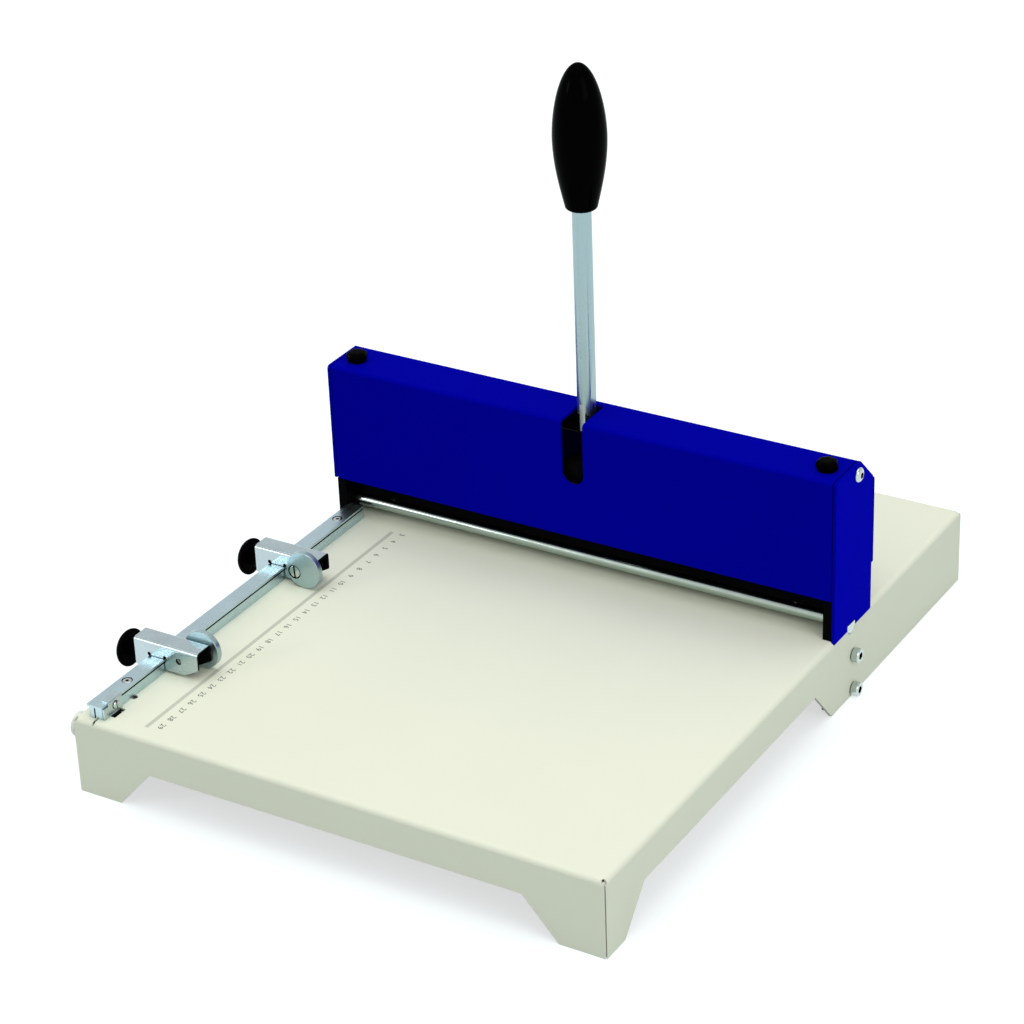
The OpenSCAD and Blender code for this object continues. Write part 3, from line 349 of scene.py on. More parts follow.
def make_metal_group():
    """Rolled or turned metal: streaks along one axis, cloudy plating and fine scratches."""
    tree, i, o = group("metal_skin",
                       [("Vector", "Vector", None), ("Color", "Color", None), ("Stretch", "Vector", (1, 1, 1)),
                        ("Cloud", "Float", 0.06), ("Roughness", "Float", 0.3), ("Spread", "Float", 0.1),
                        ("Scratch", "Float", 0.2)],
                       [("Color", "Color"), ("Roughness", "Float"), ("Normal", "Vector")])
    v = i.outputs["Vector"]
    scaled = tree.nodes.new("ShaderNodeVectorMath")
    scaled.operation = "MULTIPLY"
    tree.links.new(v, scaled.inputs[0])
    tree.links.new(i.outputs["Stretch"], scaled.inputs[1])
    streak = noise(tree, scaled.outputs[0], 700, 4, 0.6)
    cloud = noise(tree, v, 60, 4, 0.6)
    low = maths(tree, "SUBTRACT", 1.0, i.outputs["Cloud"])
    high = maths(tree, "ADD", 1.0, i.outputs["Cloud"])
    tree.links.new(tinted(tree, i.outputs["Color"], remap(tree, cloud, low, high)), o.inputs["Color"])
    mixed = maths(tree, "ADD", remap(tree, streak, -0.5, 0.5), remap(tree, cloud, -0.4, 0.4))
    spread = maths(tree, "MULTIPLY", mixed, i.outputs["Spread"])
    tree.links.new(maths(tree, "ADD", i.outputs["Roughness"], spread), o.inputs["Roughness"])
    tree.links.new(bumped(tree, streak, i.outputs["Scratch"], 0.00003), o.inputs["Normal"])
    return tree


COAT = make_coat_group()
METAL = make_metal_group()


def inner_side(tree, where):
    """1 on the inner faces of the folded table and in its holes, 0 on the outside: where the table's colour is
    darkened as painted shade.
    """
    split = tree.nodes.new("ShaderNodeSeparateXYZ")
    tree.links.new(where, split.inputs[0])
    x, y, z = split.outputs
    across = maths(tree, "ABSOLUTE", maths(tree, "SUBTRACT", x, ORIGIN.x), 0)
    mask = maths(tree, "LESS_THAN", across, (HALF_W - 2.1) * MM)
    mask = maths(tree, "MULTIPLY", mask, maths(tree, "GREATER_THAN", y, LO.y + 2.1 * MM))
    mask = maths(tree, "MULTIPLY", mask, maths(tree, "LESS_THAN", y, HI.y - 2.1 * MM))
    return maths(tree, "MULTIPLY", mask, maths(tree, "LESS_THAN", z, HI.z - 0.8 * MM))


def material(name, skin, colour, values, shader, painted_inner_shade=0):
    """Material with Object coordinates into a skin group and that into the shader."""
    mat = bpy.data.materials.new(name)
    mat.use_nodes = True
    tree = mat.node_tree
    tree.nodes.clear()
    where = tree.nodes.new("ShaderNodeTexCoord")
    look = tree.nodes.new("ShaderNodeGroup")
    look.node_tree = skin
    bsdf = tree.nodes.new("ShaderNodeBsdfPrincipled")
    out = tree.nodes.new("ShaderNodeOutputMaterial")
    tree.links.new(where.outputs["Object"], look.inputs["Vector"])
    look.inputs["Color"].default_value = (*colour, 1)
    for key, value in values.items():
        look.inputs[key].default_value = value
    shade = look.outputs["Color"]
    # painted shade: darkens the colour on the table's inner faces and in its holes
    if painted_inner_shade:
        mask = inner_side(tree, where.outputs["Object"])
        shade = tinted(tree, shade, maths(tree, "SUBTRACT", 1, maths(tree, "MULTIPLY", mask, painted_inner_shade)))
    tree.links.new(shade, bsdf.inputs["Base Color"])
    tree.links.new(look.outputs["Roughness"], bsdf.inputs["Roughness"])
    tree.links.new(look.outputs["Normal"], bsdf.inputs["Normal"])
    for key, value in shader.items():
        bsdf.inputs[key].default_value = value
    tree.links.new(bsdf.outputs["BSDF"], out.inputs["Surface"])
    mat.diffuse_color = (*colour, 1)
    return mat


def metal(name, colour, stretch, rough, cloud=0.06, spread=0.1, scratch=0.2):
    return material(name, METAL, colour,
                    {"Stretch": stretch, "Roughness": rough, "Cloud": cloud, "Spread": spread,
                     "Scratch": scratch},
                    {"Metallic": 1.0})


def paint(name, colour, rough, gloss, mottle=0.05, grain=0.15, spread=0.08, painted_inner_shade=0):
    return material(name, COAT, colour,
                    {"Mottle": mottle, "Roughness": rough, "Gloss Spread": spread, "Grain": grain},
                    {"Specular IOR Level": gloss}, painted_inner_shade)


# the cream table's inner faces and holes are darkened as painted shade
CREAM = paint("cream_powder_coat", (0.80, 0.83, 0.678), 0.5, 0.12, 0.012, 0.2, painted_inner_shade=0.94)
CREAM_CAP = paint("cream_cap", (0.80, 0.82, 0.74), 0.35, 0.3, 0.012, 0.05)
BLUE = paint("blue_powder_coat", (0.0004, 0.0006, 0.322), 0.42, 0.0015, 0.04, 0.03)
# painted light: a lighter copy of the cover's blue for the end panels' flat sides
BLUE_PAINTED_LIT = paint("blue_powder_coat_painted_lit", (0.0004, 0.0006, 0.50), 0.42, 0.001, 0.04, 0.03)
BLACK = paint("black_paint", (0.0015, 0.0015, 0.0018), 0.45, 0.008, 0.2, 0.2)
GLOSS = paint("black_gloss_plastic", (0.0005, 0.0005, 0.0006), 0.14, 0.008, 0.1, 0.02)
KNOB = paint("black_moulded_plastic", (0.0006, 0.0006, 0.0006), 0.42, 0.008, 0.2, 0.2)
# painted shade: black that stands for the shade inside sockets, slots, recesses and gaps
PAINTED_SHADE = paint("painted_shade_black", (0.003, 0.003, 0.003), 0.6, 0.02, 0.2, 0.1)
OXIDE = paint("black_oxide_steel", (0.006, 0.006, 0.007), 0.35, 0.06, 0.2, 0.1)
INK = paint("ruler_ink", (0.13, 0.14, 0.11), 0.55, 0.1, 0.12, 0.1)
INK_BAND = paint("ruler_band", (0.55, 0.575, 0.47), 0.5, 0.1, 0.05, 0.1)
ZINC_X = metal("zinc_plate_x", (0.50, 0.60, 0.63), (0.02, 1, 1), 0.27, 0.05, 0.10, 0.18)
BAR = metal("ground_press_bar", (0.42, 0.50, 0.455), (0.02, 1, 1), 0.20, 0.05, 0.08, 0.15)
ZINC_Y = metal("zinc_plate_y", (0.50, 0.64, 0.69), (1, 0.02, 1), 0.28, 0.04, 0.10, 0.2)
ZINC_DISC = metal("zinc_plate_disc", (0.40, 0.52, 0.55), (1, 1, 1), 0.32, 0.06, 0.10, 0.10)
TONGUE = metal("lever_plate_steel", (0.55, 0.62, 0.61), (1, 1, 1), 0.4, 0.05, 0.08, 0.1)
ZINC_Z = metal("zinc_plate", (0.50, 0.60, 0.62), (1, 1, 1), 0.28, 0.06, 0.10, 0.10)
BRIGHT = metal("bright_screw_steel", (0.55, 0.62, 0.60), (1, 1, 1), 0.17, 0.05, 0.08, 0.08)
ROD = metal("polished_rod", (0.34, 0.455, 0.48), (1, 1, 0.03), 0.30, 0.03, 0.08, 0.10)
STEEL = metal("ground_steel", (0.40, 0.42, 0.43), (0.02, 1, 1), 0.32, 0.05, 0.12, 0.2)
SPRING = metal("spring_wire", (0.30, 0.31, 0.33), (1, 1, 1), 0.28, 0.05, 0.1, 0.1)
BRONZE = metal("bearing_bronze", (0.58, 0.40, 0.20), (1, 1, 1), 0.34, 0.08, 0.1, 0.15)

CAD_LOOKS = {
    # the end panels take the lighter blue copy, which is painted light
    "table_base": CREAM, "head_cover": BLUE, "end_panel_left": BLUE_PAINTED_LIT, "end_panel_right": BLUE_PAINTED_LIT,
    "side_frame_left": BLACK, "side_frame_right": BLACK, "tool_beam": BLACK,
    "lever_grip": GLOSS, "lever_rod": ROD, "lever_plate": TONGUE,
    "cover_knob_left": KNOB, "cover_knob_right": KNOB, "knob_washer_left": KNOB, "knob_washer_right": KNOB,
    "clamp_knob_rear": KNOB, "clamp_knob_front": KNOB,
    "rail_core": ZINC_Y, "rail_cap": ZINC_Y, "press_bar": BAR,
    "frame_bolts": BRIGHT, "end_panel_screws": BRIGHT, "locating_studs": BRIGHT, "wall_button_bolt": BRIGHT,
    "bed_bar": STEEL, "crease_die": STEEL, "top_tie_bar": OXIDE, "lever_shaft": OXIDE, "cam_left": OXIDE,
    "cam_right": OXIDE, "hub_collars": OXIDE, "cover_lugs": OXIDE, "blade_spacer": STEEL,
    "shaft_bushes": BRONZE,
    "crease_blade": BRIGHT, "perforating_blade": BRIGHT,
    "return_springs": SPRING, "press_springs": SPRING,
}
for node_name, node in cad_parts.items():
    node.data.materials.clear()
    node.data.materials.append(CAD_LOOKS.get(node_name, ZINC_Z))


# ---------- camera, light and floor ----------

CAMERA_AT = (697.16 + HALF_W, -1505.62, 972.92)
AZIMUTH, ELEVATION, ROLL = (math.radians(a) for a in (31.8814, 28.2943, -2.3045))
FOCAL_PX = 3154.37


def make_camera():
    ca, sa, ce, se = math.cos(AZIMUTH), math.sin(AZIMUTH), math.cos(ELEVATION), math.sin(ELEVATION)
    right, up = Vector((ca, sa, 0)), Vector((-sa * se, ca * se, ce))
    back = Vector((sa * ce, -ca * ce, se))
    cr, sr = math.cos(ROLL), math.sin(ROLL)
    turn = axes(cr * right + sr * up, cr * up - sr * right, back)
    data = bpy.data.cameras.new("camera")
    data.sensor_width = 36
    data.lens = FOCAL_PX / 1024 * 36
    data.clip_end = 20
    cam = bpy.data.objects.new("camera", data)
    turn.translation = PLACE @ Vector(CAMERA_AT)
    cam.matrix_world = turn
    scene.collection.objects.link(cam)
    scene.camera = cam


def make_light(name, at, target, size, power, colour=(1, 1, 1)):
    data = bpy.data.lights.new(name, "AREA")
    data.shape = "RECTANGLE"
    data.size, data.size_y = size
    data.energy = power
    data.color = colour
    lamp = bpy.data.objects.new(name, data)
    lamp.location = at
    lamp.rotation_euler = (Vector(target) - Vector(at)).to_track_quat("-Z", "Y").to_euler()
    scene.collection.objects.link(lamp)


def seen_rays(tree):
    """1 for what the camera sees, straight or in a reflection, and 0 for the light on the object."""
    path = tree.nodes.new("ShaderNodeLightPath")
    straight = maths(tree, "MAXIMUM", path.outputs["Is Camera Ray"], path.outputs["Is Glossy Ray"])
    return maths(tree, "MAXIMUM", straight, path.outputs["Is Transmission Ray"])


def sky(tree, height, low, high, strength):
    """Background that goes from low at the horizon to high overhead."""
    ramp = tree.nodes.new("ShaderNodeValToRGB")
    ramp.color_ramp.elements[0].color = (*low, 1)
    ramp.color_ramp.elements[1].color = (*high, 1)
    tree.links.new(height, ramp.inputs["Fac"])
    dome = tree.nodes.new("ShaderNodeBackground")
    dome.inputs["Strength"].default_value = strength
    tree.links.new(ramp.outputs["Color"], dome.inputs["Color"])
    return dome.outputs[0]


def make_world():
    world = bpy.data.worlds.new("studio")
    scene.world = world
    world.use_nodes = True
    tree = world.node_tree
    tree.nodes.clear()
    where = tree.nodes.new("ShaderNodeTexCoord")
    split = tree.nodes.new("ShaderNodeSeparateXYZ")
    tree.links.new(where.outputs["Generated"], split.inputs[0])
    height = split.outputs["Z"]
    light = sky(tree, height, (0.50, 0.51, 0.52), (0.82, 0.82, 0.82), WORLD_POWER)
    backdrop = sky(tree, height, (1, 1, 1), (0.55, 0.56, 0.57), 1)
    mix = tree.nodes.new("ShaderNodeMixShader")
    tree.links.new(seen_rays(tree), mix.inputs[0])
    tree.links.new(light, mix.inputs[1])
    tree.links.new(backdrop, mix.inputs[2])
    out = tree.nodes.new("ShaderNodeOutputWorld")
    tree.links.new(mix.outputs[0], out.inputs["Surface"])


def make_floor():
    """Pale floor that looks white where nothing shades it and keeps the object's shadow."""
    bm = bmesh.new()
    bmesh.ops.create_grid(bm, x_segments=8, y_segments=8, size=6)
    mesh = bpy.data.meshes.new("floor")
    bm.to_mesh(mesh)
    bm.free()
    mat = bpy.data.materials.new("floor")
    mat.use_nodes = True
    tree = mat.node_tree
    bsdf = tree.nodes["Principled BSDF"]
    bsdf.inputs["Base Color"].default_value = (0.47, 0.53, 0.54, 1)
    bsdf.inputs["Roughness"].default_value = 0.9
    bsdf.inputs["Specular IOR Level"].default_value = 0
    bsdf.inputs["Emission Color"].default_value = (1, 1, 1, 1)
    tree.links.new(maths(tree, "MULTIPLY", seen_rays(tree), FLOOR_GLOW), bsdf.inputs["Emission Strength"])
    mesh.materials.append(mat)
    floor = bpy.data.objects.new("floor", mesh)
    scene.collection.objects.link(floor)


WORLD_POWER = 0.82
FLOOR_GLOW = 0.62
make_camera()
make_world()
make_floor()
make_light("overhead", (-0.1, 0.05, 2.4), (0, 0, 0), (2.2, 2.2), 25)
make_light("key_right", (2.4, -0.9, 1.5), (0.05, 0, 0.06), (1.4, 1.6), 18)
make_light("front_left", (-1.9, -2.3, 1.3), (0, 0, 0.05), (0.6, 0.7), 10)


# ---------- head cover ----------

COVER_T = 2.0
COVER_FRONT, COVER_Z0, COVER_Z1 = -25, 27.4, 107.3
REAR_Z0 = 30
FOLD_R = 2.5
RIDGE_Y, RIDGE_Z, CHAMFER_Z = 8.2, 107.5, 87.5
REAR_OUT, PANEL_REAR = 28.2, 26
PANEL_SCREW = (4.4, 100.2)
STUD = (-1, -0.7)
KNOB_X, KNOB_Y = 165.7, -10


def sheet_profile(path, thickness, n=6):
    """Closed cross-section of a folded sheet from its outer path (x, y, r), material to the right."""
    count = len(path)
    inner = []
    for i, (x, y, r) in enumerate(path):
        p = Vector((x, y))
        ins = []
        if i > 0:
            d = (p - Vector(path[i - 1][:2])).normalized()
            ins.append(Vector((d.y, -d.x)))
        if i < count - 1:
            d = (Vector(path[i + 1][:2]) - p).normalized()
            ins.append(Vector((d.y, -d.x)))
        if len(ins) == 1:
            q = p + ins[0] * thickness
        else:
            m = (ins[0] + ins[1]).normalized()
            q = p + m * (thickness / m.dot(ins[0]))
        inner.append((q.x, q.y, max(r - thickness, 0.4) if 0 < i < count - 1 else 0))
    return rounded(list(path) + inner[::-1], n)


def head_cover():
    x1 = WALL_IN - 0.7
    path = [(COVER_FRONT, COVER_Z0, 0), (COVER_FRONT, COVER_Z1, FOLD_R), (RIDGE_Y, RIDGE_Z, 3),
            (REAR_OUT, CHAMFER_Z, 3), (REAR_OUT, REAR_Z0, 0)]
    sheet = moved(prism(sheet_profile(path, COVER_T, 12), 2 * x1), profile_along_x((-x1, 0, 0)))
    rear = [(REAR_OUT - COVER_T, REAR_Z0), (REAR_OUT, REAR_Z0), (REAR_OUT, CHAMFER_Z - 0.4),
            (REAR_OUT - COVER_T, CHAMFER_Z + 1.5)]
    wide = moved(prism(rear, 2 * HALF_W), profile_along_x((-HALF_W, 0, 0)))
    sheet = union(sheet, wide)
    r = 7.75
    slot = arc(0, 71.75, r, 180, 360, 24) + [(r, 130), (-r, 130)]
    upright = moved(prism(slot, 12), profile_along_y((0, -16.5, 0)))
    opening = rounded([(-r, -40, 0), (r, -40, 0), (r, 4, 3), (-r, 4, 3)])
    top = moved(prism(opening, 30), towards("+z", (0, 0, 98.8)))
    holes = [moved(prism(circle(0, 0, 3), 20), towards("+z", (s * KNOB_X, KNOB_Y, 96))) for s in (-1, 1)]
    sheet = cut(sheet, upright, top, *holes)
    soften(sheet, 0.25, 2, 35)
    add("head_cover_sheet", sheet, BLUE, "frame", "head_cover", slot="blue_paint")


def end_panels():
    slope = (RIDGE_Z - CHAMFER_Z) / (REAR_OUT - RIDGE_Y)
    rear_z = CHAMFER_Z + (REAR_OUT - PANEL_REAR) * slope
    outline = rounded([(PANEL_REAR, -2, 0.6), (PANEL_REAR, rear_z, 1.6), (RIDGE_Y, RIDGE_Z, 2),
                       (COVER_FRONT, COVER_Z1, FOLD_R), (COVER_FRONT, -2, 0.6)], 12)
    for side, name in ((-1, "left"), (1, "right")):
        plate = moved(prism(outline, 2), profile_along_x((WALL_IN if side > 0 else -HALF_W, 0, 0)))
        tools = [block(side * 178 - 3, side * 178 + 3, STUD[0] - 5.7, STUD[0] + 5.7, -9, 1.9),
                 moved(prism(circle(*PANEL_SCREW, 2.7), 6), profile_along_x((side * 178 - 3, 0, 0)))]
        if side < 0:
            tools.append(block(-182, -174, -40, -19, -9, COVER_Z0))
        plate = cut(plate, *tools)
        soften(plate, 0.14, 2, 35)
        # painted light: the flat sides take the lighter blue, the rims keep the cover's blue
        for f in plate.faces:
            f.material_index = int(abs(f.normal.x) < 0.9)
        add("end_plate_" + name, plate, BLUE_PAINTED_LIT, "frame", "end_panel_" + name, slot="blue_paint", second=BLUE)


# ---------- screws ----------

def hexagon(width, turn=0):
    return [(width / math.sqrt(3) * math.cos(math.radians(60 * k + turn)),
             width / math.sqrt(3) * math.sin(math.radians(60 * k + turn))) for k in range(6)]


def hex_socket(width, top, depth, turn=0):
    """Tool for a hexagon socket in a head whose top is at local z = top."""
    # painted shade: the socket's faces are black
    return dark(moved(prism(hexagon(width, turn), depth + 3), Matrix.Translation((0, 0, top - depth))))


def button_head(d, h, hex_w, depth):
    """Domed head, underside at z = 0."""
    r = d / 2
    profile = [(0, 0), (r - 0.2, 0), (r, 0.2), (r, 0.5)]
    for a in (math.radians(k) for k in range(8, 89, 8)):
        profile.append((r * math.cos(a) ** 0.72, 0.5 + (h - 0.5) * math.sin(a)))
    return soften(cut(lathe(profile + [(0, h)]), hex_socket(hex_w, h, depth, 12)), 0.12, 2, 50)


def cap_head(d, h, hex_w, depth, turn=0):
    """Cylindrical socket head with a fine knurl and a groove at the wall that is black as painted shade,
    underside at z = 0.
    """
    r = d / 2
    ribs = 44
    ring = []
    for k in range(2 * ribs):
        a = math.pi * k / ribs
        q = r if k % 2 == 0 else r - 0.08
        ring.append((q * math.cos(a), q * math.sin(a)))
    # painted shade: the groove at the wall is black
    neck = dark(lathe([(0, -0.1), (r - 0.7, -0.1), (r - 0.7, 0.9), (0, 0.9)], 48))
    head = moved(prism(ring, h - 0.7), Matrix.Translation((0, 0, 0.7)))
    crown = lathe([(0, 0.6), (r - 0.25, 0.6), (r + 0.3, 1.15), (r + 0.3, h - 1.05), (r - 0.15, h - 0.5),
                   (r - 0.35, h - 0.16), (r - 0.75, h), (0, h)], 88)
    head = union(combine(head, [crown], "INTERSECT"), neck)
    return soften(cut(head, hex_socket(hex_w, h, depth, turn)), 0.1, 1, 60)


def turned(at, axis, profile, steps=48):
    return moved(lathe(profile, steps), towards(axis, at))


def rod(at, axis, d, length, chamfer=0.3):
    r = d / 2
    return turned(at, axis, [(0, 0), (r - chamfer, 0), (r, chamfer), (r, length - chamfer),
                             (r - chamfer, length), (0, length)])


def head_screws():
    screws, studs, bolts = [], [], []
    for side, axis in ((-1, "-x"), (1, "+x")):
        screws.append(moved(button_head(9.5, 2.8, 3.6, 1.8), towards(axis, (side * HALF_W, *PANEL_SCREW))))
        screws.append(rod((side * FRAME_IN, *PANEL_SCREW), axis, 5, 8.1))
        stud = turned((side * WALL_IN, *STUD), axis,
                      [(0, 0), (4.9, 0), (5, 0.15), (5, 1.7), (4.6, 2.1), (3.6, 2.2), (0, 2.2)])
        flat = block(side * 178 - 5, side * 178 + 5, -9, 9, STUD[1] + 2.1, 9)
        studs.append(soften(cut(stud, flat), 0.12, 1, 50))
        studs.append(rod((side * FRAME_IN, *STUD), axis, 4, 6.1))
        for z, inner, turn in ((-22.2, 155.9, 14), (-46.2, FRAME_IN, -8)):
            bolts.append(moved(cap_head(9.07, 5.22, 4.3, 3.1, turn), towards(axis, (side * HALF_W, 2, z))))
            bolts.append(rod((side * inner, 2, z), axis, 5.5, HALF_W - inner + 0.2))
    add("panel_button_screws", joined(*screws), BRIGHT, "frame", "end_panel_screws", slot="zinc")
    add("panel_locating_studs", joined(*studs), BRIGHT, "frame", "locating_studs", slot="zinc")
    add("frame_cap_screws", joined(*bolts), BRIGHT, "frame", "frame_bolts", slot="zinc")


def wall_bolt():
    """Low cap with a gentle dome on a short shank."""
    y, z, r, h, dome_r = -297.6, -9.7, 7.8, 4.2, 26
    edge = h - dome_r + math.sqrt(dome_r ** 2 - r ** 2)
    dome = [(0, 0), (r - 0.3, 0), (r, 0.3), (r, edge - 0.5), (r - 0.15, edge - 0.12)]
    for k in range(8):
        q = (r - 0.55) * (1 - k / 8)
        dome.append((q, h - dome_r + math.sqrt(dome_r ** 2 - q ** 2)))
    cap = turned((-HALF_W, y, z), "-x", dome + [(0, h)], 64)
    add("wall_dome_cap", cap, CREAM_CAP, "frame", slot="cream_paint")
    parts = [rod((-174, y, z), "-x", 6, 5.1),
             moved(soften(prism(hexagon(9.5), 4), 0.3, 2), towards("-x", (-173, y, z)))]
    add("wall_dome_bolt", joined(*parts), BRIGHT, "frame", "wall_button_bolt", slot="zinc")


# ---------- lever ----------

def grip_radius(z, length=91.3, d=33):
    """Radius at a height above the grip's underside: a full nose over a slimmer foot."""
    middle = length / 2
    u = abs(z - middle) / middle
    if z > middle:
        return d / 2 * math.sqrt(max(0, 1 - u ** 1.8))
    return d * 0.29 + d * 0.21 * math.cos(math.pi / 2 * u)


def lever_grip():
    length, rim = 91.3, 2.4
    foot = grip_radius(rim)
    profile = [(0, 0)] + arc(foot - rim, rim, rim, -90, 0, 6)
    profile += [(grip_radius(z), z) for z in [length * k / 60 for k in range(3, 56)]]
    top = length * 55 / 60
    for k in range(1, 13):
        z = top + (length - top) * math.sin(math.pi / 2 * k / 12)
        profile.append((grip_radius(z) if k < 12 else 0, z))
    body = lathe(profile, 96)
    # painted shade: the socket inside the grip is black
    socket = dark(lathe([(0, -1), (6.05, -1), (6.05, 30), (0, 30)], 64))
    add("lever_grip_shell", moved(cut(body, socket), towards("+z", (0, SHAFT_Y, 241.2))), GLOSS, "lever",
        "lever_grip", slot="black_plastic", smooth=50)


# The tongue shows as bare metal above the shade line and is painted black below it as shade
FORK_DEPTH = 9
SHADE_LINE = 95


def lever_arm():
    """Rod whose forked foot thins out and ends in a full round, and the flat tongue in the fork."""
    base, length, r = 104, 167.2, 6
    bar = moved(lathe([(0, 0), (r, 0), (r, length), (0, length)], 96), towards("+z", (0, SHAFT_Y, base)))
    foot = arc(SHAFT_Y, base + r, r, 180, 360, 32) + [(SHAFT_Y + r, base + 200), (SHAFT_Y - r, base + 200)]
    nose = moved(prism(foot, 20), profile_along_x((-10, 0, 0)))
    taper = moved(prism([(-4.32, base - 1), (4.32, base - 1), (6.5, base + 60), (6.5, base + 200),
                         (-6.5, base + 200), (-6.5, base + 60)], 30), profile_along_y((0, 10, 0)))
    bar = combine(bar, [nose, taper], "INTERSECT")
    # painted shade: the fork slot's faces are black
    bar = cut(bar, dark(block(-2, 2, -20, 20, base - 2, base + FORK_DEPTH)))
    soften(bar, 0.3, 2, 40)
    add("lever_rod_fork", bar, ROD, "lever", "lever_rod", slot="chrome_rod", smooth=34)
    eye = arc(SHAFT_Y, SHAFT_Z, 11.5, 150, 390, 40)
    tongue = moved(prism(eye + [(SHAFT_Y + 6, SHAFT_Z + 12), (SHAFT_Y + 6, base + FORK_DEPTH),
                                (SHAFT_Y - 6, base + FORK_DEPTH), (SHAFT_Y - 6, SHAFT_Z + 12)], 4),
                   profile_along_x((-2, 0, 0)))
    tongue = cut(tongue, moved(prism(circle(SHAFT_Y, SHAFT_Z, 6.02), 10), profile_along_x((-5, 0, 0))))
    soften(tongue, 0.35, 2, 40)
    bmesh.ops.bisect_plane(tongue, geom=[*tongue.verts, *tongue.edges, *tongue.faces], dist=0.0001,
                           plane_co=(0, 0, SHADE_LINE), plane_no=(0, 0, 1))
    # painted shade: faces below the shade line take the black
    for f in tongue.faces:
        f.material_index = int(f.calc_center_median().z < SHADE_LINE)
    add("lever_tongue", tongue, TONGUE, "lever", "lever_plate", slot="zinc")


# ---------- knobs ----------

def lobed_knob(lobes, r, h):
    """Moulded thumb knob with finger lobes and a rounded top, underside at z = 0."""
    ring = []
    count = lobes * 12
    for k in range(count):
        a = 2 * math.pi * k / count
        q = r * (0.93 + 0.07 * math.cos(lobes * a))
        ring.append((math.cos(a), math.sin(a), q))
    levels = [(0, 0.80), (0.25, 0.9), (0.9, 1.0), (h * 0.45, 1.0), (h - 1.9, 0.97), (h - 1.0, 0.91),
              (h - 0.35, 0.80), (h - 0.05, 0.62), (h, 0.3)]
    bm = bmesh.new()
    rows = []
    for z, s in levels:
        soft = min(1, max(0, (s - 0.55) / 0.4))
        row = []
        for x, y, q in ring:
            reach = q * soft + r * 0.93 * (1 - soft)
            row.append(bm.verts.new((x * s * reach, y * s * reach, z)))
        rows.append(row)
    for low, high in zip(rows, rows[1:]):
        for k in range(count):
            bm.faces.new((low[k], low[(k + 1) % count], high[(k + 1) % count], high[k]))
    bm.faces.new(rows[0][::-1])
    bm.faces.new(rows[-1])
    bmesh.ops.recalc_face_normals(bm, faces=bm.faces)
    return bm


def cover_knobs():
    h = 5.3
    for side, name in ((-1, "left"), (1, "right")):
        lo, hi = (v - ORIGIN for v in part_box("cover_knob_" + name))
        foot, top = lo.z / MM, hi.z / MM
        knob = moved(lobed_knob(7, 7, h), towards("+z", (side * KNOB_X, KNOB_Y, top - h)))
        stem = rod((side * KNOB_X, KNOB_Y, foot), "+z", 5, top - h - foot)
        add("top_knob_" + name, joined(knob, stem), KNOB, "cover_knob_" + name, "cover_knob_" + name,
            slot="black_plastic", smooth=60)


CLAMP_X, CLAMP_Z = -189.5, 5.3


def clamp_knob(name, y):
    """Mushroom knob with a neck towards the bracket."""
    rim, length, r, neck, neck_r = 1.4, 7, 11.9, 6.5, 5.47
    profile = [(0, -neck), (neck_r - 0.3, -neck), (neck_r, 0.3 - neck), (neck_r, -0.4), (neck_r + 0.4, 0),
               (r - 0.9, 0), (r - 0.2, 0.35), (r, 0.8), (r, rim)]
    for k in range(1, 16):
        a = math.pi / 2 * k / 15
        profile.append((r * math.cos(a) ** 0.7 if k < 15 else 0, rim + (length - rim) * math.sin(a) ** 1.15))
    socket = lathe([(0, -neck - 1), (2.55, -neck - 1), (2.55, length * 0.6), (0, length * 0.6)], 48)
    knob = moved(cut(lathe(profile, 72), socket), towards("-x", (CLAMP_X, y, CLAMP_Z)))
    add("clamp_mushroom_" + name, knob, KNOB, "clamp_knob_" + name, "clamp_knob_" + name,
        slot="black_plastic", smooth=50)


# ---------- rail ----------

RAIL_X0, RAIL_X1, RAIL_H, CAP_T = -170.9, -160.3, 9.0, 1.4
RAIL_Y0, RAIL_Y1 = -301.0, -21.5
RAIL_MID = (RAIL_X0 + RAIL_X1) / 2
CAP_OVER = 0.2
RAIL_SCREWS = (-269, -44)
CLIP_Y0, CLIP_LEN, CLIP_T = -296.2, 13.0, 1.0
CLIP_X0 = RAIL_X1 + CAP_OVER + 0.05
CLIP_SCREW = (CLIP_Y0 + CLIP_LEN / 2, 5.4)


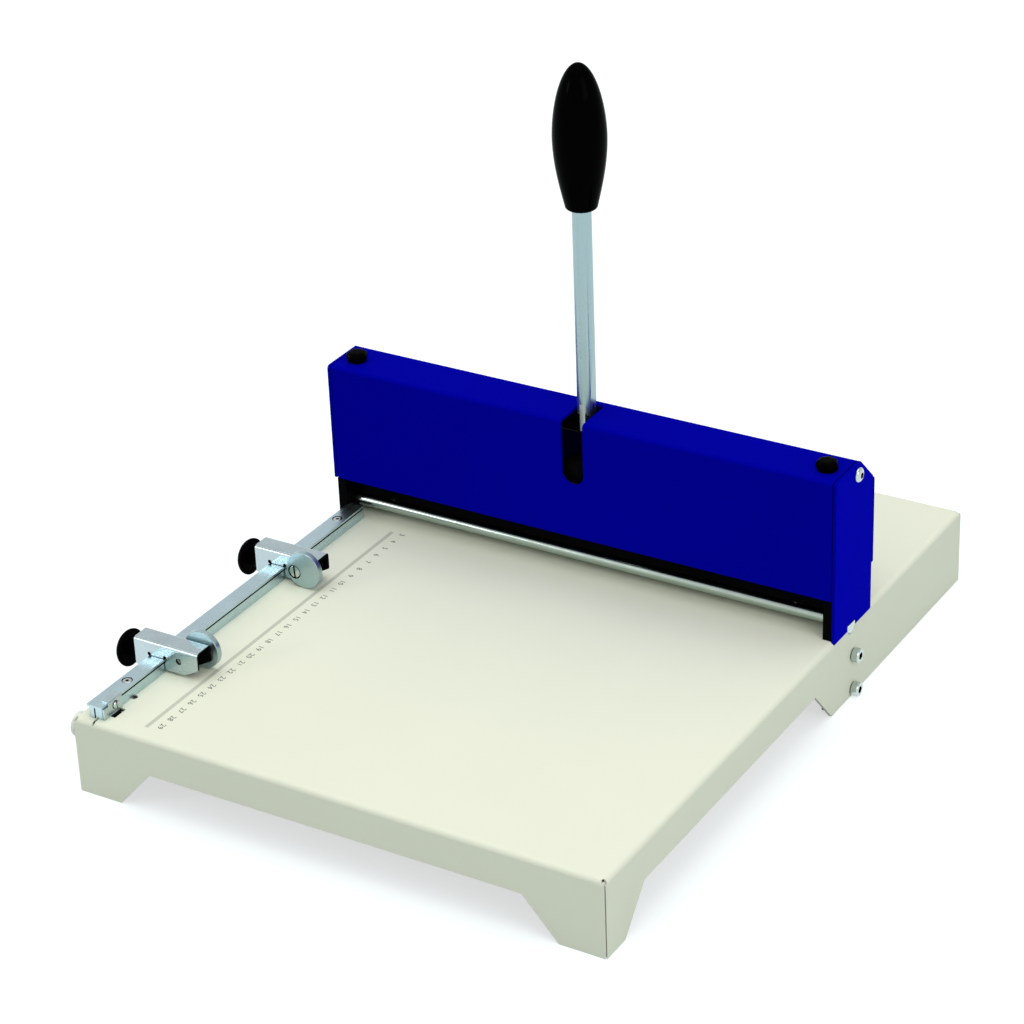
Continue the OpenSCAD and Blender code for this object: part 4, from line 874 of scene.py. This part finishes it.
def rail():
    cap_z = RAIL_H - CAP_T
    core = moved(prism(rounded([(RAIL_X0, RAIL_Y0, 2.6), (RAIL_X1, RAIL_Y0, 2.6), (RAIL_X1, RAIL_Y1, 0),
                                (RAIL_X0, RAIL_Y1, 0)], 10), cap_z), towards("+z", (0, 0, 0)))
    # painted shade: the groove and the end slit are black
    groove = dark(block(RAIL_X1 - 0.9, RAIL_X1 + 1, RAIL_Y0 + 8, RAIL_Y1 + 2, cap_z - 1.2, cap_z + 1))
    slit = dark(block(RAIL_MID - 0.5, RAIL_MID + 0.5, RAIL_Y0 - 1, RAIL_Y0 + 2.2, -1, cap_z + 1))
    bores = [turned((RAIL_MID, y, -1), "+z", [(0, 0), (1.55, 0), (1.55, 20), (0, 20)]) for y in RAIL_SCREWS]
    side_bore = turned((RAIL_X1 - 6, *CLIP_SCREW), "+x", [(0, 0), (1.3, 0), (1.3, 10), (0, 10)], 32)
    core = cut(core, groove, slit, side_bore, *bores)
    soften(core, 0.25, 2, 35)
    add("rail_body", core, ZINC_Y, "frame", "rail_core", slot="zinc")
    strip = rounded([(RAIL_X0, RAIL_Y0 - 0.6, 0.5), (RAIL_X1 + CAP_OVER, RAIL_Y0 - 0.6, 0.5),
                     (RAIL_X1 + CAP_OVER, RAIL_Y1, 0.3), (RAIL_X0, RAIL_Y1, 0.3)], 4)
    cap = moved(prism(strip, CAP_T), towards("+z", (0, 0, cap_z)))
    cone = [(0, -2.2), (1.6, -2.2), (1.6, -1.9), (3.4, 0.01), (3.4, 2), (0, 2)]
    # painted shade: the countersinks around the screw heads are black
    sinks = [dark(turned((RAIL_MID, y, RAIL_H), "+z", cone)) for y in RAIL_SCREWS]
    cap = cut(cap, *sinks)
    soften(cap, 0.2, 2, 35)
    add("rail_strip", cap, ZINC_Y, "frame", "rail_cap", slot="zinc")
    parts = []
    for y in RAIL_SCREWS:
        head = turned((RAIL_MID, y, RAIL_H), "+z",
                      [(0, -2.1), (1.5, -2.1), (1.55, -1.75), (2.85, -0.4), (2.8, -0.22), (2.4, -0.12),
                       (0, -0.08)])
        head = cut(head, moved(hex_socket(2.1, 0, 1.2, 20), towards("+z", (RAIL_MID, y, RAIL_H))))
        parts += [soften(head, 0.08, 1, 60), rod((RAIL_MID, y, -4.5), "+z", 3, RAIL_H + 2.5)]
    add("rail_sunk_screws", joined(*parts), BRIGHT, "frame", "rail_screws", slot="zinc")


def rail_clip():
    """Small angle on the rail's right side, its low front wing and the tongue through the table."""
    y1 = CLIP_Y0 + CLIP_LEN
    x1 = CLIP_X0 + CLIP_T
    top = RAIL_H + 0.05
    bent = sheet_profile([(CLIP_X0 - 4, top + CLIP_T, 0), (x1, top + CLIP_T, 1.3), (x1, 0.2, 0)], CLIP_T, 6)
    clip = moved(prism(bent, CLIP_LEN), profile_along_y((0, y1, 0)))
    clip = union(clip, block(CLIP_X0, x1, CLIP_Y0 - 4.4, CLIP_Y0 + 1, 0.2, 7.2))
    # painted shade: the tongue below the table and the screw hole are black
    clip = union(clip, dark(block(CLIP_X0 + 0.1, x1 - 0.1, -294.3, -285.1, -6, 0.35)))
    hole = dark(turned((CLIP_X0 - 1, *CLIP_SCREW), "+x", [(0, 0), (2.7, 0), (2.7, 3), (0, 3)], 32))
    clip = soften(cut(clip, hole), 0.15, 2, 40)
    add("rail_end_clip", clip, ZINC_Z, "frame", "rail_bracket", slot="zinc")
    head = turned((x1, *CLIP_SCREW), "+x",
                  [(0, 0), (2.3, 0), (2.3, 0.6), (1.9, 1.05), (1.2, 1.2), (0, 1.2)], 40)
    # painted shade: the screw's slot is black
    notch = dark(block(x1 + 0.6, x1 + 3, CLIP_SCREW[0] - 0.35, CLIP_SCREW[0] + 0.35, 0, 10))
    shank = rod((x1 - 6, *CLIP_SCREW), "+x", 2.5, 6.1)
    add("rail_clip_screw", joined(soften(cut(head, notch), 0.06, 1, 60), shank), BRIGHT, "frame",
        "rail_bracket_screw", slot="zinc")


# ---------- paper stops ----------

STOP_X0, STOP_X1, STOP_HALF = -182.0, -135.5, 7
DISC_X, DISC_Z = -149.5, 10.2
REAR_STOP_Y, FRONT_STOP_Y = -105.6, -232.4


def stop_bracket(name, y):
    """Channel over the rail with an end wall for the clamp knob."""
    t, bend, top = 1.5, 2.4, 18.9
    left, right, notch = RAIL_X0 - 0.3, RAIL_X1 + CAP_OVER + 0.3, 9.3
    side_view = [(STOP_X0, 0.4), (left, 0.4), (left, notch), (right, notch), (right, 1.7),
                 (STOP_X1 - 10.5, 1.7), (STOP_X1, 7.5), (STOP_X1, 30), (STOP_X0, 30)]
    channel = sheet_profile([(-STOP_HALF, -2, 0), (-STOP_HALF, top, bend), (STOP_HALF, top, bend),
                             (STOP_HALF, -2, 0)], t, 8)
    shell = moved(prism(channel, STOP_X1 - STOP_X0), profile_along_x((STOP_X0, y, 0)))
    trim = moved(prism(side_view, 40), profile_along_y((0, y + 20, 0)))
    shell = combine(shell, [trim], "INTERSECT")
    holes = [moved(prism(circle(x, notch + 0.6, 1.3, 32), 40), profile_along_y((0, y + 20, 0)))
             for x in (left, right)]
    holes.append(moved(prism(circle(DISC_X, DISC_Z, 2.05, 40), 40), profile_along_y((0, y + 20, 0))))
    # painted shade: the relief holes and the disc bore are black
    shell = cut(shell, *(dark(h) for h in holes))
    soften(shell, 0.18, 2, 35)
    # painted shade: the channel's inner faces are black
    for f in shell.faces:
        c = f.calc_center_median()
        if abs(c.y - y) < STOP_HALF - t + 0.05 and c.z < top - t + 0.05:
            f.material_index = 1
    wall = moved(prism(rounded([(y - 5.5, -1.5, 1), (y + 5.5, -1.5, 1), (y + 5.5, 17.39, 0),
                                (y - 5.5, 17.39, 0)]), t), profile_along_x((STOP_X0, 0, 0)))
    wall = cut(wall, moved(prism(circle(y, CLAMP_Z, 2.55), 6), profile_along_x((STOP_X0 - 2, 0, 0))))
    soften(wall, 0.15, 2, 35)
    add("stop_channel_" + name, joined(shell, wall), ZINC_X, "stop_" + name, "stop_bracket_" + name,
        slot="zinc")


def stop_disc(name, y, side):
    """Eccentric disc on the flange that faces side, with its slotted screw and nut."""
    r, t, ecc, sink = 12.3, 4, 7, 1.6
    lift = math.asin((r + 0.3 - DISC_Z) / ecc)
    axis = "-y" if side < 0 else "+y"
    face = y + side * (STOP_HALF + 0.3)
    seat = face + side * (t - sink)
    cx, cz = DISC_X + ecc * math.cos(lift), DISC_Z + ecc * math.sin(lift)
    disc = turned((cx, face, cz), axis,
                  [(0, 0), (r - 0.45, 0), (r - 0.12, 0.12), (r, 0.45), (r, t - 0.45), (r - 0.12, t - 0.12),
                   (r - 0.45, t), (0, t)], 128)
    bore = turned((DISC_X, face - side, DISC_Z), axis, [(0, 0), (2.75, 0), (2.75, 9), (0, 9)])
    recess = turned((DISC_X, seat, DISC_Z), axis, [(0, 0), (4.7, 0), (4.7, 3), (0, 3)])
    # painted shade: the recess around the screw head is black
    disc = cut(disc, bore, dark(recess))
    soften(disc, 0.12, 2, 50)
    add("stop_cam_disc_" + name, disc, ZINC_DISC, "stop_disc_" + name, "stop_disc_" + name, slot="zinc",
        smooth=45)
    head = turned((DISC_X, seat + side * 0.1, DISC_Z), axis,
                  [(0, 0), (4.0, 0), (4.0, 0.95), (3.85, 1.2), (3.2, 1.35), (0, 1.4)])
    tilt = Matrix.Rotation(math.radians(4 * side), 4, "Y")
    # painted shade: the screw's slot is black
    slot = moved(dark(block(-0.6, 0.6, -1.6, 1.6, -6, 6)),
                 Matrix.Translation((DISC_X, seat + side * 2.4, DISC_Z)) @ tilt)
    head = soften(cut(head, slot), 0.1, 2, 50)
    shank = rod((DISC_X, y + side * 1.6, DISC_Z), axis, 4, 5.6)
    shoulder = rod((DISC_X, y + side * 7.05, DISC_Z), axis, 5.4, abs(seat - y) - 6.9, 0.1)
    add("stop_screw_" + name, joined(head, shank, shoulder), BRIGHT, "stop_" + name, "disc_screw_" + name,
        slot="zinc")
    nut = moved(prism(hexagon(6.9, 10), 3.2), towards(axis, (DISC_X, y + side * 2.3, DISC_Z)))
    soften(nut, 0.3, 2, 40)
    nut = cut(nut, rod((DISC_X, y + side * 0.5, DISC_Z), axis, 4.1, 8, 0.01))
    add("stop_nut_" + name, nut, BRIGHT, "stop_" + name, "disc_nut_" + name, slot="zinc")


def stops():
    for name, y, side in (("rear", REAR_STOP_Y, -1), ("front", FRONT_STOP_Y, 1)):
        stop_bracket(name, y)
        stop_disc(name, y, side)
        clamp_knob(name, y)


# ---------- beam, press bar and frames ----------

BEAM_X, TENON_X = 170.7, 176.4
PRESS_BOLT_X, PRESS_BOLT_YS = 145, (-8, 10.25)


def upright_bore(x, y, r, z0, z1):
    return moved(prism(circle(x, y, r, 40), z1 - z0), towards("+z", (0, 0, z0)))


def beams():
    beam = union(block(-BEAM_X, BEAM_X, -15, 15, 14.8, 40), block(-TENON_X, TENON_X, -8, 8, 14.8, 40))
    beam = union(beam, *(block(x - 8, x + 8, -16, 1, 39, 53.2) for x in (-110, 110)))
    tools = [block(-400, 400, -0.55, 5.55, 10, 28)]
    for x in (-PRESS_BOLT_X, PRESS_BOLT_X):
        for y in PRESS_BOLT_YS:
            tools += [upright_bore(x, y, 2.3, 0, 60), upright_bore(x, y, 4.3, 0, 28)]
    tools += [moved(prism(circle(x, 21.5, 2.05, 32), 30), profile_along_y((0, 35, 0)))
              for x in (-135, -67.5, 0, 67.5, 135)]
    beam = cut(beam, *tools)
    soften(beam, 0.5, 2, 40, keep=lambda e: e.calc_length() > 3)
    add("tool_beam_body", beam, BLACK, "tool_beam", "tool_beam", slot="black_paint")
    bar = moved(prism(arc(-12.5, 8.5, 4, 90, 270, 24) + [(16.5, 4.5), (16.5, 12.5)], 2 * BEAM_X),
                profile_along_x((-BEAM_X, 0, 0)))
    bar = union(bar, block(-TENON_X, TENON_X, -8, 8, 8.5, 12.5))
    slots = [block(-162, 162, y - 1.3, y + 1.3, 0, 20) for y in (0, 5)]
    slots += [upright_bore(x, y, 2.05, 6, 26) for x in (-PRESS_BOLT_X, PRESS_BOLT_X) for y in PRESS_BOLT_YS]
    bar = soften(cut(bar, *slots), 0.3, 2, 40)
    add("press_bar_body", bar, BAR, "press_bar", "press_bar", slot="zinc")


def side_frames():
    outline = rounded([(-24.5, -50.5, 1.5), (-24.5, 27, 0.5), (-22, 27, 0.5), (-22, 104.5, 6), (7.2, 104.5, 3),
                       (22, 85.5, 3), (22, -50.5, 1.5)])[::-1]
    holes = [(SHAFT_Y, SHAFT_Z, 8), (12, 86, 3.55), (*PANEL_SCREW, 2.55), (*STUD, 2.05), (2, -22.2, 2.8),
             (2, -46.2, 2.8)]
    window = rounded([(-8.3, 4, 0.5), (8.3, 4, 0.5), (8.3, 42, 0.5), (-8.3, 42, 0.5)], 3)
    for side, name in ((-1, "left"), (1, "right")):
        x0 = FRAME_IN if side > 0 else -WALL_IN
        plate = moved(prism(outline, 6), profile_along_x((x0, 0, 0)))
        tools = [moved(prism(shape, 10), profile_along_x((x0 - 2, 0, 0))) for shape in [window]
                 + [circle(*h) for h in holes]]
        plate = soften(cut(plate, *tools), 0.4, 2, 40)
        add("side_plate_" + name, plate, BLACK, "frame", "side_frame_" + name, slot="black_paint")


# ---------- ruler ----------

def ruler():
    """Printed band and centimetre figures beside the rail, counted from the crease line."""
    skin = 0.05
    band = block(-134.8, -132.2, -294.7, -29.5, 0, skin)
    add("ruler_print_band", band, INK_BAND, "frame")
    parts = []
    for n in range(3, 30):
        data = bpy.data.curves.new("figure", "FONT")
        data.body = str(n)
        data.size = 5.2
        data.align_x = "CENTER"
        data.align_y = "CENTER"
        data.space_character = 1.1
        data.extrude = skin / 2
        text = bpy.data.objects.new("figure", data)
        scene.collection.objects.link(text)
        done = text.evaluated_get(bpy.context.evaluated_depsgraph_get())
        mesh = bpy.data.meshes.new_from_object(done)
        bm = bmesh.new()
        bm.from_mesh(mesh)
        bpy.data.objects.remove(text)
        bpy.data.curves.remove(data)
        bpy.data.meshes.remove(mesh)
        parts.append(moved(bm, axes((0, -1, 0), (1, 0, 0), (0, 0, 1), (-126, -10 * n, skin / 2))))
    add("ruler_print_figures", joined(*parts), INK, "frame")


head_cover()
end_panels()
head_screws()
wall_bolt()
lever_grip()
lever_arm()
cover_knobs()
stops()
rail()
rail_clip()
beams()
side_frames()
ruler()
